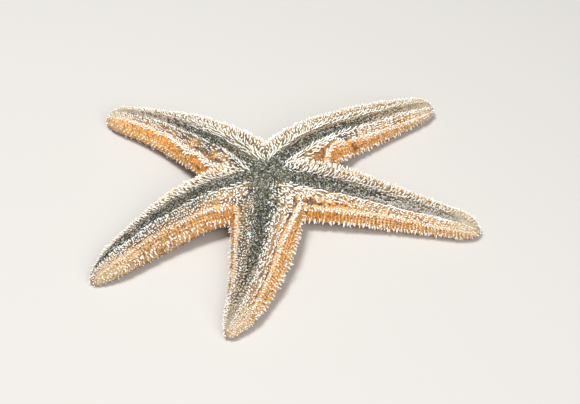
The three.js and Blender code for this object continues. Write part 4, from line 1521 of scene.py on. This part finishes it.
def capped_rings(count, sides, start=0):
    """Faces through rings of points, whose last two points close the first and the last ring."""
    last = start + (count - 1) * sides
    first_cap, last_cap = start + count * sides, start + count * sides + 1
    faces = []
    for i in range(sides):
        j = (i + 1) % sides
        faces += [(n + i, n + j, n + j + sides, n + i + sides) for n in range(start, last, sides)]
        faces += [(start + j, start + i, first_cap), (last + i, last + j, last_cap)]
    return faces


def mixed_object(name, points, faces, uv):
    """An object of triangles and quads, smooth, with a place on the unwrap for each of its points."""
    mesh = bpy.data.meshes.new(name)
    mesh.from_pydata([tuple(c * 0.001 for c in spot) for spot in points], [], faces)
    mesh.shade_smooth()
    unwrap_with(mesh, [uv[n] for face in faces for n in face])
    return placed(name, mesh)


crust_tree = BVHTree.FromObject(sand_crust, bpy.context.evaluated_depsgraph_get())
chance = np.random.default_rng(97)
chip_points, chip_faces, chip_uv, chip_tone = [], [], [], []
for k, far, round_at, wide in CHIPS:
    share_at, ring_at = np.array([far / ARMS[k]["reach"]]), np.array([float(round_at)])
    spot, out, _, tip_way = (way[0] for way in skin_spots(k, share_at, ring_at))
    root = chart_spots(k, share_at, ring_at)[0, :2]
    above = Vector((spot + 4 * out) * 0.001)
    hits = [found.ray_cast(above, Vector(-out))[0] for found in (crust_tree, skin_tree)]
    spot = min((h for h in hits if h), key=lambda h: (h - above).length)
    spot = np.array(spot) * 1000
    tilt = out + chance.uniform(-0.25, 0.25, 3)
    tilt /= np.linalg.norm(tilt)
    one = np.cross(tilt, tip_way)
    one /= np.linalg.norm(one)
    two = np.cross(tilt, one)
    angles = np.arange(CORNERS) * 2 * math.pi / CORNERS + chance.uniform(-0.15, 0.15, CORNERS)
    reach = wide / 2 * chance.uniform(0.75, 1.1, CORNERS)
    chip_faces += capped_rings(len(CHIP_LEVELS), CORNERS, len(chip_points))
    for level, inset in CHIP_LEVELS:
        for angle, far_out in zip(angles, reach):
            here = (math.cos(angle) * one + 0.75 * math.sin(angle) * two) * far_out * inset
            chip_points.append(spot + here + level * tilt)
            chip_uv.append(root + PATCH * 0.48 * inset * np.array([math.cos(angle), math.sin(angle)]))
    chip_points += [spot - 0.22 * tilt, spot + 0.32 * tilt]
    chip_uv += [root, root]
    chip_tone += [chance.uniform()] * (len(chip_points) - len(chip_tone))
shell_chips = mixed_object("shell_chips", chip_points, chip_faces, chip_uv)
note(shell_chips.data, "tone", chip_tone)
chip_finish, tree, shader = finish_named(
    "shell chips", Roughness=0.3, Subsurface_Weight=0.2, Subsurface_Scale=0.0005
)
colour = ramp(tree, reading(tree, "tone"), [(0, "b9d0dc"), (0.5, "cfdde2"), (1, "e9e8e2")])
colour = blend(tree, between(tree, ground(tree, 1800, 3), 0.4, 0.75, 0, 0.7), colour, "8d979a")
surfaced(tree, shader, colour, 0.4, 0.0002, ground(tree, 2400, 3))
shell_chips.data.materials.append(chip_finish)
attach(shell_chips, "root")
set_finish(shell_chips, "sand")

# ---- Madreporite ----
# The madreporite is a round sieve of pale chalk, grooved like a brain coral, through which the animal
# takes in water. It is set in the skin of the back, off the middle, and so faces the floor.
low, high = (np.array(corner) * 1000 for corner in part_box("madreporite"))
centre, radius = (low + high) / 2, (high[0] - low[0]) / 2
below = Vector((centre[0] * 0.001, centre[1] * 0.001, -0.01))
under_skin = skin_tree.ray_cast(below, Vector((0, 0, 1)))[0].z * 1000
TURNS, STEPS_OUT = 72, 16
sieve_points, sieve_groove_shade = [], []
for step in range(1, STEPS_OUT + 1):
    out = step / STEPS_OUT
    for i in range(TURNS):
        angle = 2 * math.pi * i / TURNS
        fold = math.cos(11 * angle + 2.5 * math.sin(3 * angle + 4 * out) + 5 * out)
        fold = fold * min(1, 3 * out) * (1 - max(0, (out - 0.85) / 0.15))
        level = under_skin - 0.28 * (1 - out**4) + 0.3 * max(0, (out - 0.8) / 0.2) - 0.09 * fold
        x, y = centre[:2] + radius * out * np.array([math.cos(angle), math.sin(angle)])
        sieve_points.append((x, y, max(level, low[2])))
        sieve_groove_shade.append(max(0, -fold))
sieve_points += [(*centre[:2], under_skin - 0.28), (*centre[:2], under_skin + 0.6)]
sieve_uv = 0.9 + 0.04 * (np.array(sieve_points) - centre)[:, :2] / radius
madreporite = mixed_object("madreporite_plate", sieve_points, capped_rings(STEPS_OUT, TURNS), sieve_uv)
note(madreporite.data, "groove", [*sieve_groove_shade, 0, 0])
sieve_finish, tree, shader = finish_named(
    "madreporite", Roughness=0.7, Subsurface_Weight=0.15, Subsurface_Scale=0.0004
)
colour = blend(tree, between(tree, ground(tree, 1500, 3), 0.35, 0.7), "efe2c6", "dcc79c")
# Painted shade: darker brown down in the grooves, stronger where each fold is deeper.
colour = blend(tree, between(tree, reading(tree, "groove"), 0.1, 0.9, 0, 0.85), colour, "8d6b42")
surfaced(tree, shader, colour, 0.5, 0.0001, ground(tree, 6000, 3))
madreporite.data.materials.append(sieve_finish)
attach(madreporite, "root")
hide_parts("madreporite")
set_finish(madreporite, "madreporite")

for form in (slender, stout, fine_form, thick, pointed, short, bead, gill, foot, grain):
    bpy.data.objects.remove(form)

# No hair of the coat stands outside the solids' box.
for made in bpy.data.objects:
    if made.type == "MESH" and made.get("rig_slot"):
        low, high = (np.array(corner) * 1000 for corner in cad_box)
        move_points(made.data, np.clip(points_of(made.data), low + 0.02, high - 0.02))

# ---- Floor, light and camera ----
# A plain pale floor under soft studio light, seen from in front and above.
FLOOR_HALF = 3000
floor_corners = [(x * FLOOR_HALF, y * FLOOR_HALF, 0) for x, y in ((-1, -1), (1, -1), (1, 1), (-1, 1))]
floor = mesh_object("floor", floor_corners, [(0, 1, 2, 3)])
floor_finish, tree, shader = finish_named("floor", Base_Color=(0.52, 0.505, 0.48, 1), Roughness=0.9)
floor.data.materials.append(floor_finish)

world = bpy.data.worlds.new("room")
bpy.context.scene.world = world
world.use_nodes = True
background = world.node_tree.nodes["Background"].inputs
background["Color"].default_value, background["Strength"].default_value = (1, 1, 1, 1), 0.25


def point_at(made, place, aim):
    made.location = place
    made.rotation_mode = "QUATERNION"
    made.rotation_quaternion = (Vector(aim) - Vector(place)).to_track_quat("-Z", "Y")


def softbox(name, place, size, power):
    light = bpy.data.lights.new(name, "AREA")
    light.shape = "SQUARE"
    light.size = size
    light.energy = power
    point_at(placed(name, light), place, (0, 0, 0))


softbox("key", (-0.2, 0.05, 0.8), 0.25, 7.5)
softbox("fill", (0.3, -0.62, 0.55), 0.6, 5.3)

AIM = Vector((0.0077, -0.0119, 0.010))
ELEVATION, DISTANCE = math.radians(40), 0.700
camera = placed("camera", bpy.data.cameras.new("camera"))
point_at(camera, AIM + DISTANCE * Vector((0, -math.cos(ELEVATION), math.sin(ELEVATION))), AIM)
camera.data.sensor_width = 36
camera.data.lens = 126
camera.data.clip_start, camera.data.clip_end = 0.01, 20
bpy.context.scene.camera = camera
bpy.context.scene.view_settings.view_transform = "Standard"
